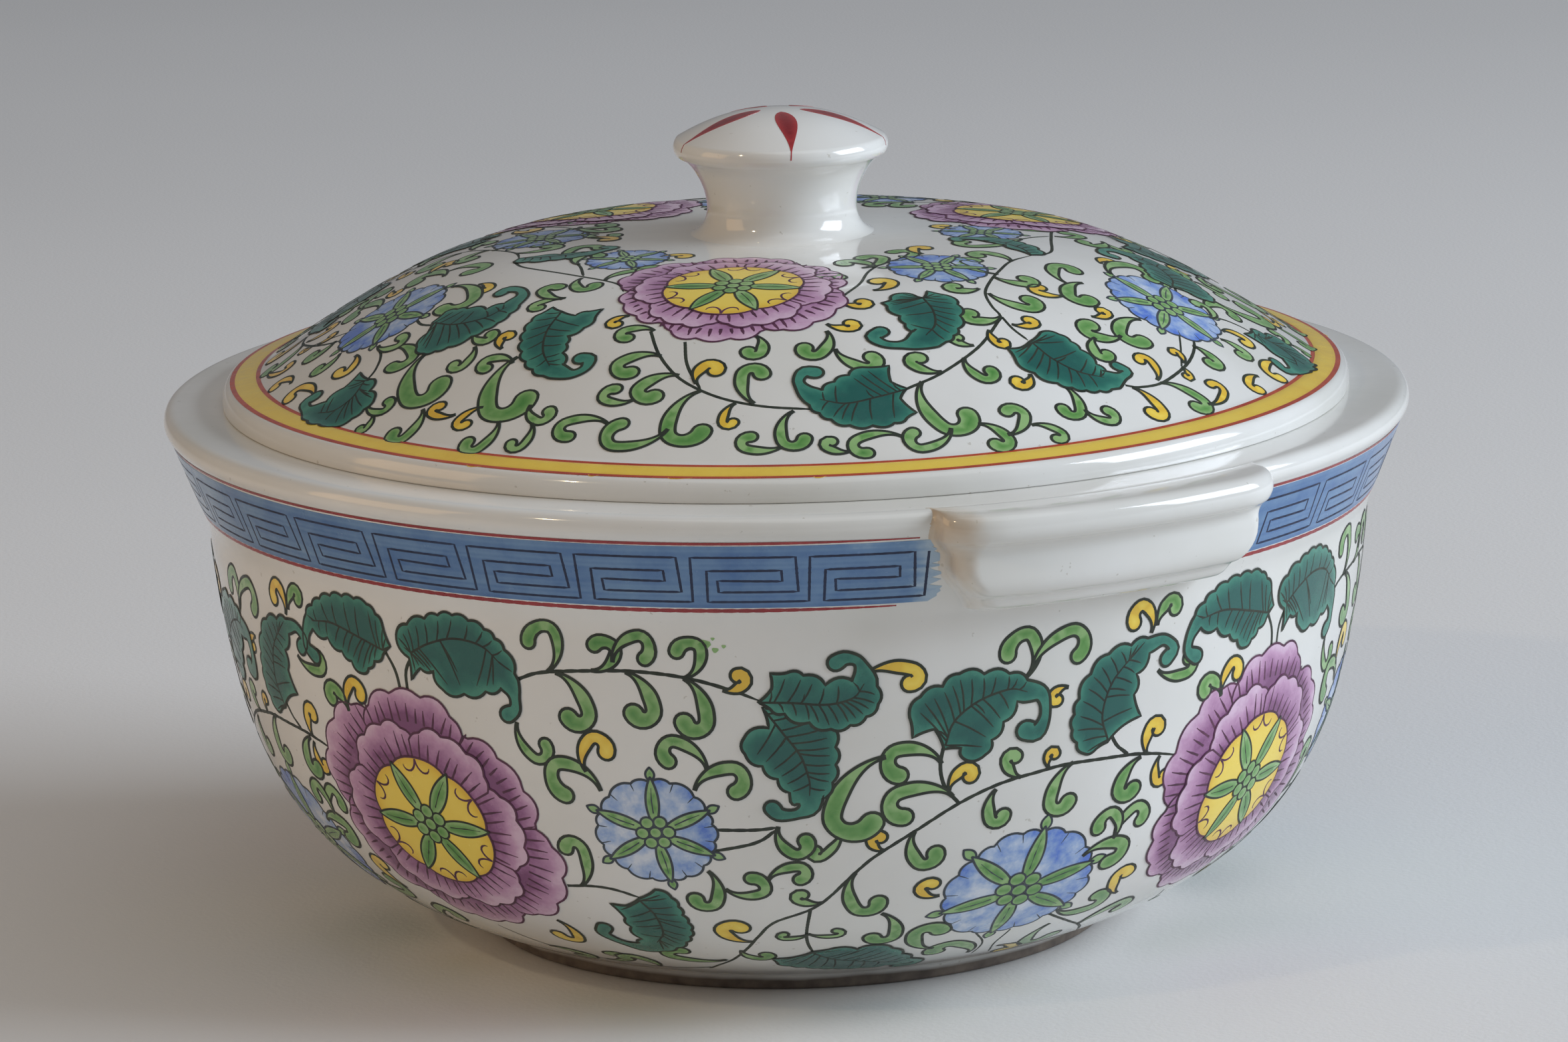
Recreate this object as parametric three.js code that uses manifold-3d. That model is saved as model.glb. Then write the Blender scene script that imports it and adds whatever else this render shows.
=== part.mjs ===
// Covered rice bowl in glazed porcelain: a deep bowl with two lug handles, and a domed lid with a knob.
// Units are millimetres, +Z is up, and the origin is on the ground at the centre of the foot ring.
// The handles stand on the X axis. Every outline is a list of (radius, height) points turned about Z.

import * as THREE from 'three';
import { mergeVertices } from 'three/addons/utils/BufferGeometryUtils.js';
import Module from 'manifold-3d';

const wasm = await Module();
wasm.setup();

// Bowl. Each pull is a control point of the curve that draws a wall.
const foot = { radius: 61.5, height: 3.4, width: 5.4, edge: 1, recess: 5.2 };
const wall = { radius: 64, height: 3.6, lowPull: [99.6, 16.9], highPull: [107.4, 35.7] };
const shoulder = { radius: 111.8, height: 78 };
const collar = { baseRadius: 113, baseHeight: 84, topRadius: 119, topHeight: 99.1 };
const rim = { radius: 120, rounding: 2.6 };
const seat = { height: 103.6, mouthRadius: 103.8, edge: 1.6 };
const cavity = { radius: 104.8, top: 82, lowPull: [99.8, 12], highPull: [104.4, 44], floorRadius: 45.5 };
const floorHeight = 10.4;

// Lug handle: a rounded lip over a groove and a lower block
const handle = { reach: 7.6, halfLength: 34.5, bottom: 84.2, footHalfLength: 26.5, cornerRounding: 11 };
const lip = { height: 6.4, rounding: 2.6, groove: 3.6 };

// Lid
const flange = { radius: 108.6, thickness: 4.2, edge: 1.4, topEdge: 2.2 };
const dome = { baseRadius: 101.5, baseHeight: 109, height: 133.8, lowPull: 63.5, highPull: 60 };
const shell = { thickness: 4.4, underPull: 54 };
const locatingRim = { radius: 102.2, drop: 8, edge: 0.9 };
const knob = { radius: 21.2, height: 23.6, edgeHeight: 16.6, crownPull: 9 };
const neck = { radius: 14.3, filletReach: 3, waistHeight: 4, flare: 2.1, flareHeight: 11.4 };

// Clearances
const seatGap = 0.25;
const lutedGap = 0.3;

// Steps of the turned and swept shapes
const bowlSteps = 64;
const knobSteps = 36;
const handleSteps = 120;
const wallSteps = 10;
const cornerSteps = 3;
const prismCornerSteps = 5;

const bowlGlaze = { color: 0xe8e5de, roughness: 0.22, metalness: 0 };
const lidGlaze = { color: 0xebe8e1, roughness: 0.2, metalness: 0 };

// Outline pieces
const point = (radius, height) => [new THREE.Vector2(radius, height)];
const vector = ([radius, height]) => new THREE.Vector2(radius, height);

function corner(from, tip, to) {
  return new THREE.QuadraticBezierCurve(vector(from), vector(tip), vector(to)).getPoints(cornerSteps);
}

function sweep(from, leave, arrive, to) {
  const curve = new THREE.CubicBezierCurve(vector(from), vector(leave), vector(arrive), vector(to));
  return curve.getPoints(wallSteps);
}

// Turns an outline about Z. The outline starts and ends on the axis, or closes on itself.
function turned(outline, steps) {
  const distinct = outline.filter((p, i) => i === 0 || p.distanceTo(outline[i - 1]) > 1e-6);
  const geometry = new THREE.LatheGeometry(distinct, steps);
  geometry.rotateX(Math.PI / 2);
  return geometry;
}

// Solids for cutting and joining
function toSolid(geometry) {
  const bare = geometry.clone();
  bare.deleteAttribute('normal');
  bare.deleteAttribute('uv');
  const merged = mergeVertices(bare, 1e-4);
  const vertProperties = new Float32Array(merged.attributes.position.array);
  const triVerts = new Uint32Array(merged.index.array);
  return new wasm.Manifold(new wasm.Mesh({ numProp: 3, vertProperties, triVerts }));
}

function toGeometry(solid) {
  const mesh = solid.getMesh();
  const geometry = new THREE.BufferGeometry();
  geometry.setAttribute('position', new THREE.BufferAttribute(mesh.vertProperties, 3));
  geometry.setIndex(new THREE.BufferAttribute(mesh.triVerts, 1));
  geometry.computeVertexNormals();
  return geometry;
}

// Foot ring, from the middle of the bowl's underside out to the foot's outer top
function footOutline() {
  const inner = foot.radius - foot.width;
  return [
    ...point(0, foot.recess),
    ...point(inner - 4 * foot.edge, foot.recess - foot.edge / 2),
    ...point(inner - foot.edge, foot.height),
    ...point(inner, foot.edge),
    ...point(inner + foot.edge, 0),
    ...point(foot.radius - foot.edge, 0),
    ...point(foot.radius, foot.edge),
    ...point(foot.radius + foot.edge, foot.height),
  ];
}

// Outside of the bowl above the foot, up to the seat's outer edge, moved outwards by grow
function wallOutline(grow = 0) {
  const shoulderOut = shoulder.radius + grow;
  const collarBase = [collar.baseRadius + grow, collar.baseHeight];
  const collarTop = [collar.topRadius + grow, collar.topHeight];
  const rimOut = rim.radius + grow;
  const rimSide = [rimOut, seat.height - rim.rounding];
  return [
    ...sweep(
      [wall.radius + grow, wall.height],
      [wall.lowPull[0] + grow, wall.lowPull[1]],
      [wall.highPull[0] + grow, wall.highPull[1]],
      [shoulderOut, shoulder.height],
    ),
    ...corner([shoulderOut, shoulder.height], [shoulderOut, collar.baseHeight - 2], collarBase),
    ...corner(collarTop, [rimOut, collar.topHeight + 1], rimSide),
    ...corner(rimSide, [rimOut, seat.height + grow], [rim.radius - rim.rounding, seat.height + grow]),
  ];
}

function cavityOutline() {
  const mouthEdge = [seat.mouthRadius + seat.edge, seat.height];
  const cavityTop = [cavity.radius, cavity.top];
  return [
    ...corner(mouthEdge, [seat.mouthRadius, seat.height], [seat.mouthRadius, seat.height - seat.edge]),
    ...sweep(cavityTop, cavity.highPull, cavity.lowPull, [cavity.floorRadius, floorHeight]),
    ...point(0, floorHeight),
  ];
}

// Bowl body: foot ring, swelling wall, flared collar and a flat seat inside the rounded rim
function bowlBody() {
  return turned([...footOutline(), ...wallOutline(), ...cavityOutline()], bowlSteps);
}

// The handle's section, a closed loop that reaches back inside the collar
function handleSection() {
  const outer = rim.radius + handle.reach;
  const root = collar.baseRadius - 2;
  const blockOut = outer - lip.groove;
  const lipBottom = seat.height - lip.height;
  const lipUnder = [outer - lip.groove / 2, lipBottom + 1];
  const lipSide = [outer, seat.height - lip.rounding];
  return [
    ...point(root, handle.bottom),
    ...corner(
      [collar.baseRadius + 3, handle.bottom],
      [blockOut - 1, handle.bottom + 1.6],
      [blockOut, handle.bottom + 8],
    ),
    ...corner([blockOut, lipBottom - 3], [blockOut - 1, lipBottom], lipUnder),
    ...corner(lipUnder, [outer, lipBottom + 1.6], lipSide),
    ...corner(lipSide, [outer, seat.height], [outer - lip.rounding, seat.height]),
    ...point(root, seat.height),
    ...point(root, handle.bottom),
  ];
}

// Seen along X: the lip at full length, and the lower block drawing in towards its foot
function handleSideShape() {
  const waist = handle.halfLength - 1.6;
  const low = handle.bottom - 1;
  const lipBottom = seat.height - lip.height;
  const top = seat.height + 1;
  const shape = new THREE.Shape();
  shape.moveTo(-handle.footHalfLength, low);
  shape.lineTo(handle.footHalfLength, low);
  shape.quadraticCurveTo(waist - 1, handle.bottom + 4, waist, lipBottom - 1);
  shape.lineTo(handle.halfLength, lipBottom + 2);
  shape.lineTo(handle.halfLength, top);
  shape.lineTo(-handle.halfLength, top);
  shape.lineTo(-handle.halfLength, lipBottom + 2);
  shape.lineTo(-waist, lipBottom - 1);
  shape.quadraticCurveTo(-waist + 1, handle.bottom + 4, -handle.footHalfLength, low);
  return shape;
}

// Seen from above: square to the bowl, with rounded outer corners
function handlePlanShape() {
  const outer = rim.radius + handle.reach + 1;
  const rounded = outer - handle.cornerRounding;
  const straight = handle.halfLength - handle.cornerRounding;
  const shape = new THREE.Shape();
  shape.moveTo(0, -handle.halfLength);
  shape.lineTo(rounded, -handle.halfLength);
  shape.quadraticCurveTo(outer - 2, -handle.halfLength, outer, -straight);
  shape.lineTo(outer, straight);
  shape.quadraticCurveTo(outer - 2, handle.halfLength, rounded, handle.halfLength);
  shape.lineTo(0, handle.halfLength);
  return shape;
}

function prism(shape, depth) {
  return new THREE.ExtrudeGeometry(shape, { depth, bevelEnabled: false, curveSegments: prismCornerSteps });
}

// Lug handle: a ring with the handle's section, cut to length from the side and rounded in plan,
// then hollowed to lie against the collar and rim with a thin luting gap
function lugHandle() {
  const ring = toSolid(turned(handleSection(), handleSteps));
  const sidePrism = prism(handleSideShape(), rim.radius + 2 * handle.reach);
  // The side shape is drawn in (Y, Z), so its depth runs along X.
  const sideFrame = new THREE.Matrix4().makeBasis(
    new THREE.Vector3(0, 1, 0),
    new THREE.Vector3(0, 0, 1),
    new THREE.Vector3(1, 0, 0),
  );
  sidePrism.applyMatrix4(sideFrame);
  const planPrism = prism(handlePlanShape(), seat.height + 1);
  const bowlSpace = turned(
    [...point(0, 0), ...wallOutline(lutedGap), ...point(0, seat.height + lutedGap)],
    bowlSteps,
  );
  const cutToLength = ring.intersect(toSolid(sidePrism)).intersect(toSolid(planPrism));
  return toGeometry(cutToLength.subtract(toSolid(bowlSpace)));
}

// Lid shell: dome, flat shoulder for the border band, rounded flange edge and a locating rim
function lidShell() {
  const flangeBottom = seat.height + seatGap;
  const flangeTop = flangeBottom + flange.thickness;
  const flangeSide = [flange.radius, flangeBottom + flange.edge];
  const rimBottom = flangeBottom - locatingRim.drop;
  const inside = locatingRim.radius - shell.thickness;
  const ceiling = dome.height - shell.thickness;
  const outline = [
    ...sweep(
      [0, ceiling],
      [shell.underPull, ceiling],
      [dome.highPull, ceiling],
      [inside - 1, dome.baseHeight - 0.8 * shell.thickness],
    ),
    ...point(inside, flangeBottom - 1),
    ...point(inside + 0.5, rimBottom + locatingRim.edge),
    ...point(inside + 0.5 + locatingRim.edge, rimBottom),
    ...point(locatingRim.radius - 2 * locatingRim.edge, rimBottom),
    ...point(locatingRim.radius - 0.6, rimBottom + locatingRim.edge),
    ...point(locatingRim.radius, flangeBottom),
    ...corner([flange.radius - flange.edge, flangeBottom], [flange.radius, flangeBottom], flangeSide),
    ...corner(flangeSide, [flange.radius, flangeTop], [flange.radius - flange.topEdge, flangeTop]),
    ...point(dome.baseRadius + 1, dome.baseHeight),
    ...sweep(
      [dome.baseRadius, dome.baseHeight],
      [dome.lowPull, dome.height],
      [dome.highPull, dome.height],
      [0, dome.height],
    ),
  ];
  return turned(outline, bowlSteps);
}

// Lid knob: a waisted neck that flares into a shallow mushroom cap
function lidKnob() {
  const bottom = dome.height + lutedGap;
  const waist = [neck.radius, bottom + neck.waistHeight];
  const flareTop = [neck.radius + neck.flare, bottom + neck.flareHeight];
  const capEdge = bottom + knob.edgeHeight;
  const underEdge = [knob.radius - 0.8, capEdge - 1.6];
  const overEdge = [knob.radius - 1, capEdge + 1.1];
  const crown = bottom + knob.height;
  const outline = [
    ...point(0, bottom),
    ...corner([neck.radius + neck.filletReach, bottom], [neck.radius, bottom + 0.8], waist),
    ...corner(waist, [neck.radius + 0.6, bottom + 2 * neck.waistHeight], flareTop),
    ...corner(flareTop, [knob.radius - 3.4, capEdge - 2.8], underEdge),
    ...corner(underEdge, [knob.radius + 0.3, capEdge], overEdge),
    ...sweep(overEdge, [knob.radius - 6.4, crown - 2.4], [knob.crownPull, crown], [0, crown]),
  ];
  return turned(outline, knobSteps);
}

function piece(name, geometry, look) {
  const mesh = new THREE.Mesh(geometry, new THREE.MeshStandardMaterial(look));
  mesh.name = name;
  return mesh;
}

const riceBowl = new THREE.Group();

const bowl = new THREE.Group();
bowl.add(piece('bowl_body', bowlBody(), bowlGlaze));
const handleGeometry = lugHandle();
['handle_right', 'handle_left'].forEach((name, side) => {
  const lug = piece(name, handleGeometry, bowlGlaze);
  lug.rotation.z = side * Math.PI;
  bowl.add(lug);
});
riceBowl.add(bowl);

const lid = new THREE.Group();
lid.add(piece('lid_shell', lidShell(), lidGlaze));
lid.add(piece('lid_knob', lidKnob(), lidGlaze));
riceBowl.add(lid);

export default riceBowl;
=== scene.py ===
"""Covered rice bowl in painted porcelain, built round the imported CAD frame.

Sizes are millimetres in the CAD frame and become metres when a mesh is made. The painting is real relief:
each colour is a thin coat of enamel on the glaze, and each drawn line is a fine ridge on top of it.
A place on a turned surface is (azimuth, climb): degrees to the right of the front, and millimetres along the
outline, upwards on the bowl and inwards on the lid.
"""

import math

import bpy
import numpy as np
from mathutils import Matrix, Vector
from mathutils.geometry import delaunay_2d_cdt


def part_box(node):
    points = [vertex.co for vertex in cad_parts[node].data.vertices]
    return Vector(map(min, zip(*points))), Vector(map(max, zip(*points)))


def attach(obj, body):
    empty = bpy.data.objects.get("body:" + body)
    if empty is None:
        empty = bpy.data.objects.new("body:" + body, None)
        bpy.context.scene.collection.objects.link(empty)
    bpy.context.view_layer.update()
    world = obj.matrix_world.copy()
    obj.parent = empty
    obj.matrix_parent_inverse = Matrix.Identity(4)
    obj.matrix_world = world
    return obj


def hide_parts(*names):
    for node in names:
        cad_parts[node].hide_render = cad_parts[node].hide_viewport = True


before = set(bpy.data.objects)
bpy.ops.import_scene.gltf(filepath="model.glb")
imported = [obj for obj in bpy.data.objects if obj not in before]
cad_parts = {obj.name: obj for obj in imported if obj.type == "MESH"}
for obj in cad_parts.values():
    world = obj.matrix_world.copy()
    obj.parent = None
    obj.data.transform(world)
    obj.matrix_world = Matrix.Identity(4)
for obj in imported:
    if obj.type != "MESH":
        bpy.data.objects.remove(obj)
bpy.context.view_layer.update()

METRE = 0.001
FRONT = 61.0  # the front's azimuth from -Y towards +X, so the handle on +X stands at 90 - FRONT


def node_box(node):
    """Low and high corner of a CAD part."""
    low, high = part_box(node)
    return low / METRE, high / METRE


# ---------------------------------------------------------------- sizes

_, bowl_high = node_box("bowl_body")
grip_low, grip_high = node_box("handle_right")
lid_low, lid_high = node_box("lid_shell")
knob_low, knob_high = node_box("lid_knob")

rim_radius = bowl_high.x
seat_height = bowl_high.z
lid_radius = lid_high.x
lid_top = lid_high.z
handle_front = 90.0 - FRONT  # azimuth of the handle on +X
grip_length = grip_high.y

turn_steps = 256
coat = 0.05  # thickness of one coat of enamel
ridge = 0.035  # height of a drawn line above its coat
sink = 0.01  # how far a drawn line's foot goes into its coat
buried = 0.1  # how far the lowest coat goes into the glaze
clearance = 0.004  # gap between a coat and the one under it


# ---------------------------------------------------------------- lines in the plane

def arc_points(start, tip, end, steps=6):
    """A rounded corner from start to end that leans towards tip."""
    t = np.linspace(0, 1, steps + 1)[:, None]
    start, tip, end = (np.array(p, float) for p in (start, tip, end))
    return (1 - t) ** 2 * start + 2 * t * (1 - t) * tip + t ** 2 * end


def sweep_points(start, leave, arrive, end, steps):
    """A long curve that leaves start towards one pull point and arrives at end from the other."""
    t = np.linspace(0, 1, steps + 1)[:, None]
    start, leave, arrive, end = (np.array(p, float) for p in (start, leave, arrive, end))
    return ((1 - t) ** 3 * start + 3 * t * (1 - t) ** 2 * leave
            + 3 * t ** 2 * (1 - t) * arrive + t ** 3 * end)


def straight_points(start, end, spacing):
    """An even straight run."""
    start, end = np.array(start, float), np.array(end, float)
    steps = max(1, int(round(np.linalg.norm(end - start) / spacing)))
    return start + (end - start) * np.linspace(0, 1, steps + 1)[:, None]


def join(*parts):
    """One outline from several, without repeated points."""
    points = np.vstack([np.atleast_2d(np.array(p, float)) for p in parts])
    keep = np.ones(len(points), bool)
    keep[1:] = np.linalg.norm(np.diff(points, axis=0), axis=1) > 1e-6
    return points[keep]


def trace(start, *stretches):
    """An outline from start. A stretch is (end, spacing) for a straight run, (tip, end, steps) for a rounded
    corner, or (leave, arrive, end, steps) for a long curve."""
    makers = {2: straight_points, 3: arc_points, 4: sweep_points}
    parts = [[start]]
    for stretch in stretches:
        parts.append(makers[len(stretch)](parts[-1][-1], *stretch))
    return join(*parts)


def evenly(line, spacing):
    """The same line with even steps of about the given length."""
    run = np.concatenate([[0], np.cumsum(np.linalg.norm(np.diff(line, axis=0), axis=1))])
    steps = max(2, int(round(run[-1] / spacing)))
    at = np.linspace(0, run[-1], steps + 1)
    return np.stack([np.interp(at, run, line[:, k]) for k in range(line.shape[1])], 1)


def curve_through(points, spacing):
    """A smooth line through the points."""
    p = np.array(points, float)
    p = np.vstack([2 * p[0] - p[1], p, 2 * p[-1] - p[-2]])
    t = np.linspace(0, 1, 12, endpoint=False)[:, None]
    spans = []
    for a, b, c, d in zip(p, p[1:], p[2:], p[3:]):
        spans.append(b + 0.5 * t * (c - a + t * (2 * a - 5 * b + 4 * c - d + t * (3 * b - a - 3 * c + d))))
    return evenly(np.vstack(spans + [p[-2:-1]]), spacing)


def ease(x, low, high):
    """A smooth step from 0 at low to 1 at high."""
    t = np.clip((np.asarray(x, float) - low) / (high - low), 0, 1)
    return t * t * (3 - 2 * t)


def band_outline(line, left, right):
    """Closed outline of a band round a centre line: half widths on each side, and a round far end."""
    along = np.gradient(line, axis=0)
    along /= np.linalg.norm(along, axis=1)[:, None]
    across = np.stack([-along[:, 1], along[:, 0]], 1)
    end_angle = math.atan2(across[-1, 1], across[-1, 0])
    end_radius = (left[-1] + right[-1]) / 2
    turn = end_angle - np.linspace(0, math.pi, 9)[1:-1]
    cap = line[-1] + end_radius * np.stack([np.cos(turn), np.sin(turn)], 1)
    return np.vstack([line + across * left[:, None], cap, (line - across * right[:, None])[::-1]])


def turns_left(outline):
    """Whether a closed outline runs anticlockwise."""
    after = np.roll(outline, -1, axis=0)
    return (outline[:, 0] * after[:, 1] - outline[:, 1] * after[:, 0]).sum() > 0


def scallops(points, outward, base, swelling=0.4, hollow=-0.1, longest=5.0):
    """A margin from point to point that swells between them, to the right of its way if outward is 1.
    Spans over the longest length become two scallops. Spans next to a sharp tip, or to the base at the first
    (0) or last (-1) point, stay hollow."""
    ways = np.diff(points, axis=0)
    ways /= np.linalg.norm(ways, axis=1)[:, None]
    sharp = np.concatenate([[False], (ways[1:] * ways[:-1]).sum(1) < 0.1, [False]])
    sharp[base] = True
    parts = []
    for k, (a, b) in enumerate(zip(points, points[1:])):
        along = b - a
        middle = (a + b) / 2 + 0.05 * outward * np.array([along[1], -along[0]])
        ends = [a, middle, b] if np.linalg.norm(along) > longest else [a, b]
        for start, end in zip(ends, ends[1:]):
            along = end - start
            tip = (sharp[k] and start is a) or (sharp[k + 1] and end is b)
            swell = outward * (hollow if tip else swelling) * np.array([along[1], -along[0]])
            parts.append(arc_points(start, start + 0.55 * along + swell, end)[:-1])
    return np.vstack(parts + [points[-1:]])


def polar(centre, angles, radii):
    """Points at angles (degrees) and radii from a centre."""
    angles = np.radians(angles)
    return np.array(centre) + np.stack([np.cos(angles), np.sin(angles)], 1) * np.asarray(radii)[..., None]


def inside(points, outline):
    """Which points lie inside a closed outline."""
    x, y = points[:, 0:1], points[:, 1:2]
    a, b = outline, np.roll(outline, -1, axis=0)
    crosses = (a[:, 1] > y) != (b[:, 1] > y)
    rise = np.where(b[:, 1] == a[:, 1], 1e-12, b[:, 1] - a[:, 1])
    where = a[:, 0] + (y - a[:, 1]) * (b[:, 0] - a[:, 0]) / rise
    return (crosses & (x < where)).sum(1) % 2 == 1


def edge_distance(points, outline):
    """Distance from each point to a closed outline."""
    a, b = outline, np.roll(outline, -1, axis=0)
    d = b - a
    t = ((points[:, None] - a) * d).sum(2) / np.maximum((d * d).sum(1), 1e-12)
    nearest = a + np.clip(t, 0, 1)[..., None] * d
    return np.linalg.norm(points[:, None] - nearest, axis=2).min(1)


# ---------------------------------------------------------------- meshes

class Shell:
    """Collects vertices and faces in millimetres and makes one Blender object of them."""

    def __init__(self):
        self.points, self.faces, self.tones, self.chart, self.shown = [], [], [], [], []
        self.count = 0

    def add(self, points, faces, tones, chart, shown):
        """Faces index these points. shown says which faces get room on the bake chart."""
        self.points.append(points)
        self.tones.append(tones)
        self.chart.append(chart)
        for face, open_face in zip(faces, shown):
            self.faces.append([i + self.count for i in face])
            self.shown.append(open_face)
        self.count += len(points)

    def make(self, name, finish, body, slot):
        mesh = smooth_mesh(name, np.vstack(self.points), self.faces, 50)
        mesh.attributes.new("tone", "FLOAT", "POINT").data.foreach_set(
            "value", np.concatenate(self.tones).astype(np.float32))
        corner = np.zeros(len(mesh.loops), np.int32)
        mesh.loops.foreach_get("vertex_index", corner)
        sizes = np.array([len(f) for f in self.faces])
        first = np.repeat(corner[np.cumsum(sizes) - sizes], sizes)
        chart = np.vstack(self.chart)
        spots = np.where(np.repeat(self.shown, sizes)[:, None], chart[corner], chart[first])
        mesh.uv_layers.new(name="OFBake").data.foreach_set("uv", spots.astype(np.float32).ravel())
        return place_piece(mesh, name, finish, body)


def smooth_mesh(name, points, faces, crease=None):
    """A smooth-shaded mesh of millimetre points. Edges that turn by more than crease degrees stay sharp."""
    mesh = bpy.data.meshes.new(name)
    mesh.from_pydata((points * METRE).tolist(), [], faces)
    mesh.polygons.foreach_set("use_smooth", np.ones(len(mesh.polygons), bool))
    if crease:
        mesh.set_sharp_from_angle(angle=math.radians(crease))
    mesh.update()
    return mesh


def place_piece(mesh, name, finish, body):
    """Makes a piece of a mesh and lets it ride on its body."""
    thing = bpy.data.objects.new(name, mesh)
    bpy.context.scene.collection.objects.link(thing)
    mesh.materials.append(finish)
    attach(thing, body)
    return thing


def turned(outline, steps):
    """Closed turned mesh of a (radius, height) outline that starts and ends on the axis."""
    turn = np.arange(steps) / steps * 2 * math.pi
    body = outline[1:-1]
    ring = np.stack([np.sin(turn), -np.cos(turn)], 1)
    sides = body[:, None, 0:1] * ring[None]
    heights = np.broadcast_to(body[:, None, 1:2], (len(body), steps, 1))
    points = np.concatenate([sides, heights], 2).reshape(-1, 3)
    points = np.vstack([points, [[0, 0, outline[0, 1]]], [[0, 0, outline[-1, 1]]]])
    here = np.arange(steps)
    after = (here + 1) % steps
    rows = np.arange(len(body) - 1)[:, None] * steps
    quads = np.stack([rows + here, rows + after, rows + steps + after, rows + steps + here], 2)
    first, last = len(points) - 2, len(points) - 1
    top = (len(body) - 1) * steps
    faces = quads.reshape(-1, 4).tolist()
    faces += [[first, b, a] for a, b in zip(here.tolist(), after.tolist())]
    faces += [[top + a, top + b, last] for a, b in zip(here.tolist(), after.tolist())]
    return points, faces


def turned_piece(name, outline, finish, body, steps=turn_steps):
    """A piece turned from an outline."""
    return place_piece(smooth_mesh(name, *turned(outline, steps)), name, finish, body)


# ---------------------------------------------------------------- turned surfaces

class Skin:
    """The outside of a turned piece, where places are (azimuth, climb)."""

    def __init__(self, outline, start=0.0):
        self.outline = outline
        steps = np.linalg.norm(np.diff(outline, axis=0), axis=1)
        self.climb = start + np.concatenate([[0], np.cumsum(steps)])
        along = np.gradient(outline, self.climb, axis=0)
        along /= np.linalg.norm(along, axis=1)[:, None]
        self.along = along

    def at(self, climb, values):
        """What values along the outline come to at a climb."""
        return np.interp(climb, self.climb, values)

    def radius(self, climb):
        return self.at(climb, self.outline[:, 0])

    def outward(self, places):
        """The direction straight off the surface."""
        turn = np.radians(places[:, 0] + FRONT)
        side = self.at(places[:, 1], self.along[:, 1])
        up = -self.at(places[:, 1], self.along[:, 0])
        return np.stack([side * np.sin(turn), -side * np.cos(turn), up], 1)

    def lay(self, places, lift):
        """Points at these places, lifted off the surface."""
        turn = np.radians(places[:, 0] + FRONT)
        radius = self.radius(places[:, 1])
        height = self.at(places[:, 1], self.outline[:, 1])
        ground = np.stack([radius * np.sin(turn), -radius * np.cos(turn), height], 1)
        return ground + self.outward(places) * np.asarray(lift, float).reshape(-1, 1)

    def cone(self, origin):
        """Lean and slant length of the cone that touches the surface at origin."""
        lean = float(self.at(origin[1], self.along[:, 0]))
        lean = math.copysign(max(abs(lean), 0.02), lean)
        return lean, float(self.radius(origin[1])) / lean

    def flatten(self, places, origin):
        """Places as flat (right, up) millimetres from origin."""
        lean, slant = self.cone(origin)
        places = np.atleast_2d(np.array(places, float))
        turn = lean * np.radians(places[:, 0] - origin[0])
        reach = slant + places[:, 1] - origin[1]
        return np.stack([reach * np.sin(turn), reach * np.cos(turn) - slant], 1)

    def wrap(self, flat, origin):
        """The opposite of flatten."""
        lean, slant = self.cone(origin)
        turn = np.arctan(flat[:, 0] / (slant + flat[:, 1]))
        reach = math.copysign(1, slant) * np.hypot(flat[:, 0], slant + flat[:, 1])
        return np.stack([origin[0] + np.degrees(turn) / lean, origin[1] + reach - slant], 1)


# ---------------------------------------------------------------- painting

def full_at(reach):
    """A tone rule for a coat that is thin at its edge and full at this distance from it."""
    def tone(spots, depth):
        return np.clip(depth / reach, 0, 1)
    return tone


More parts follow.
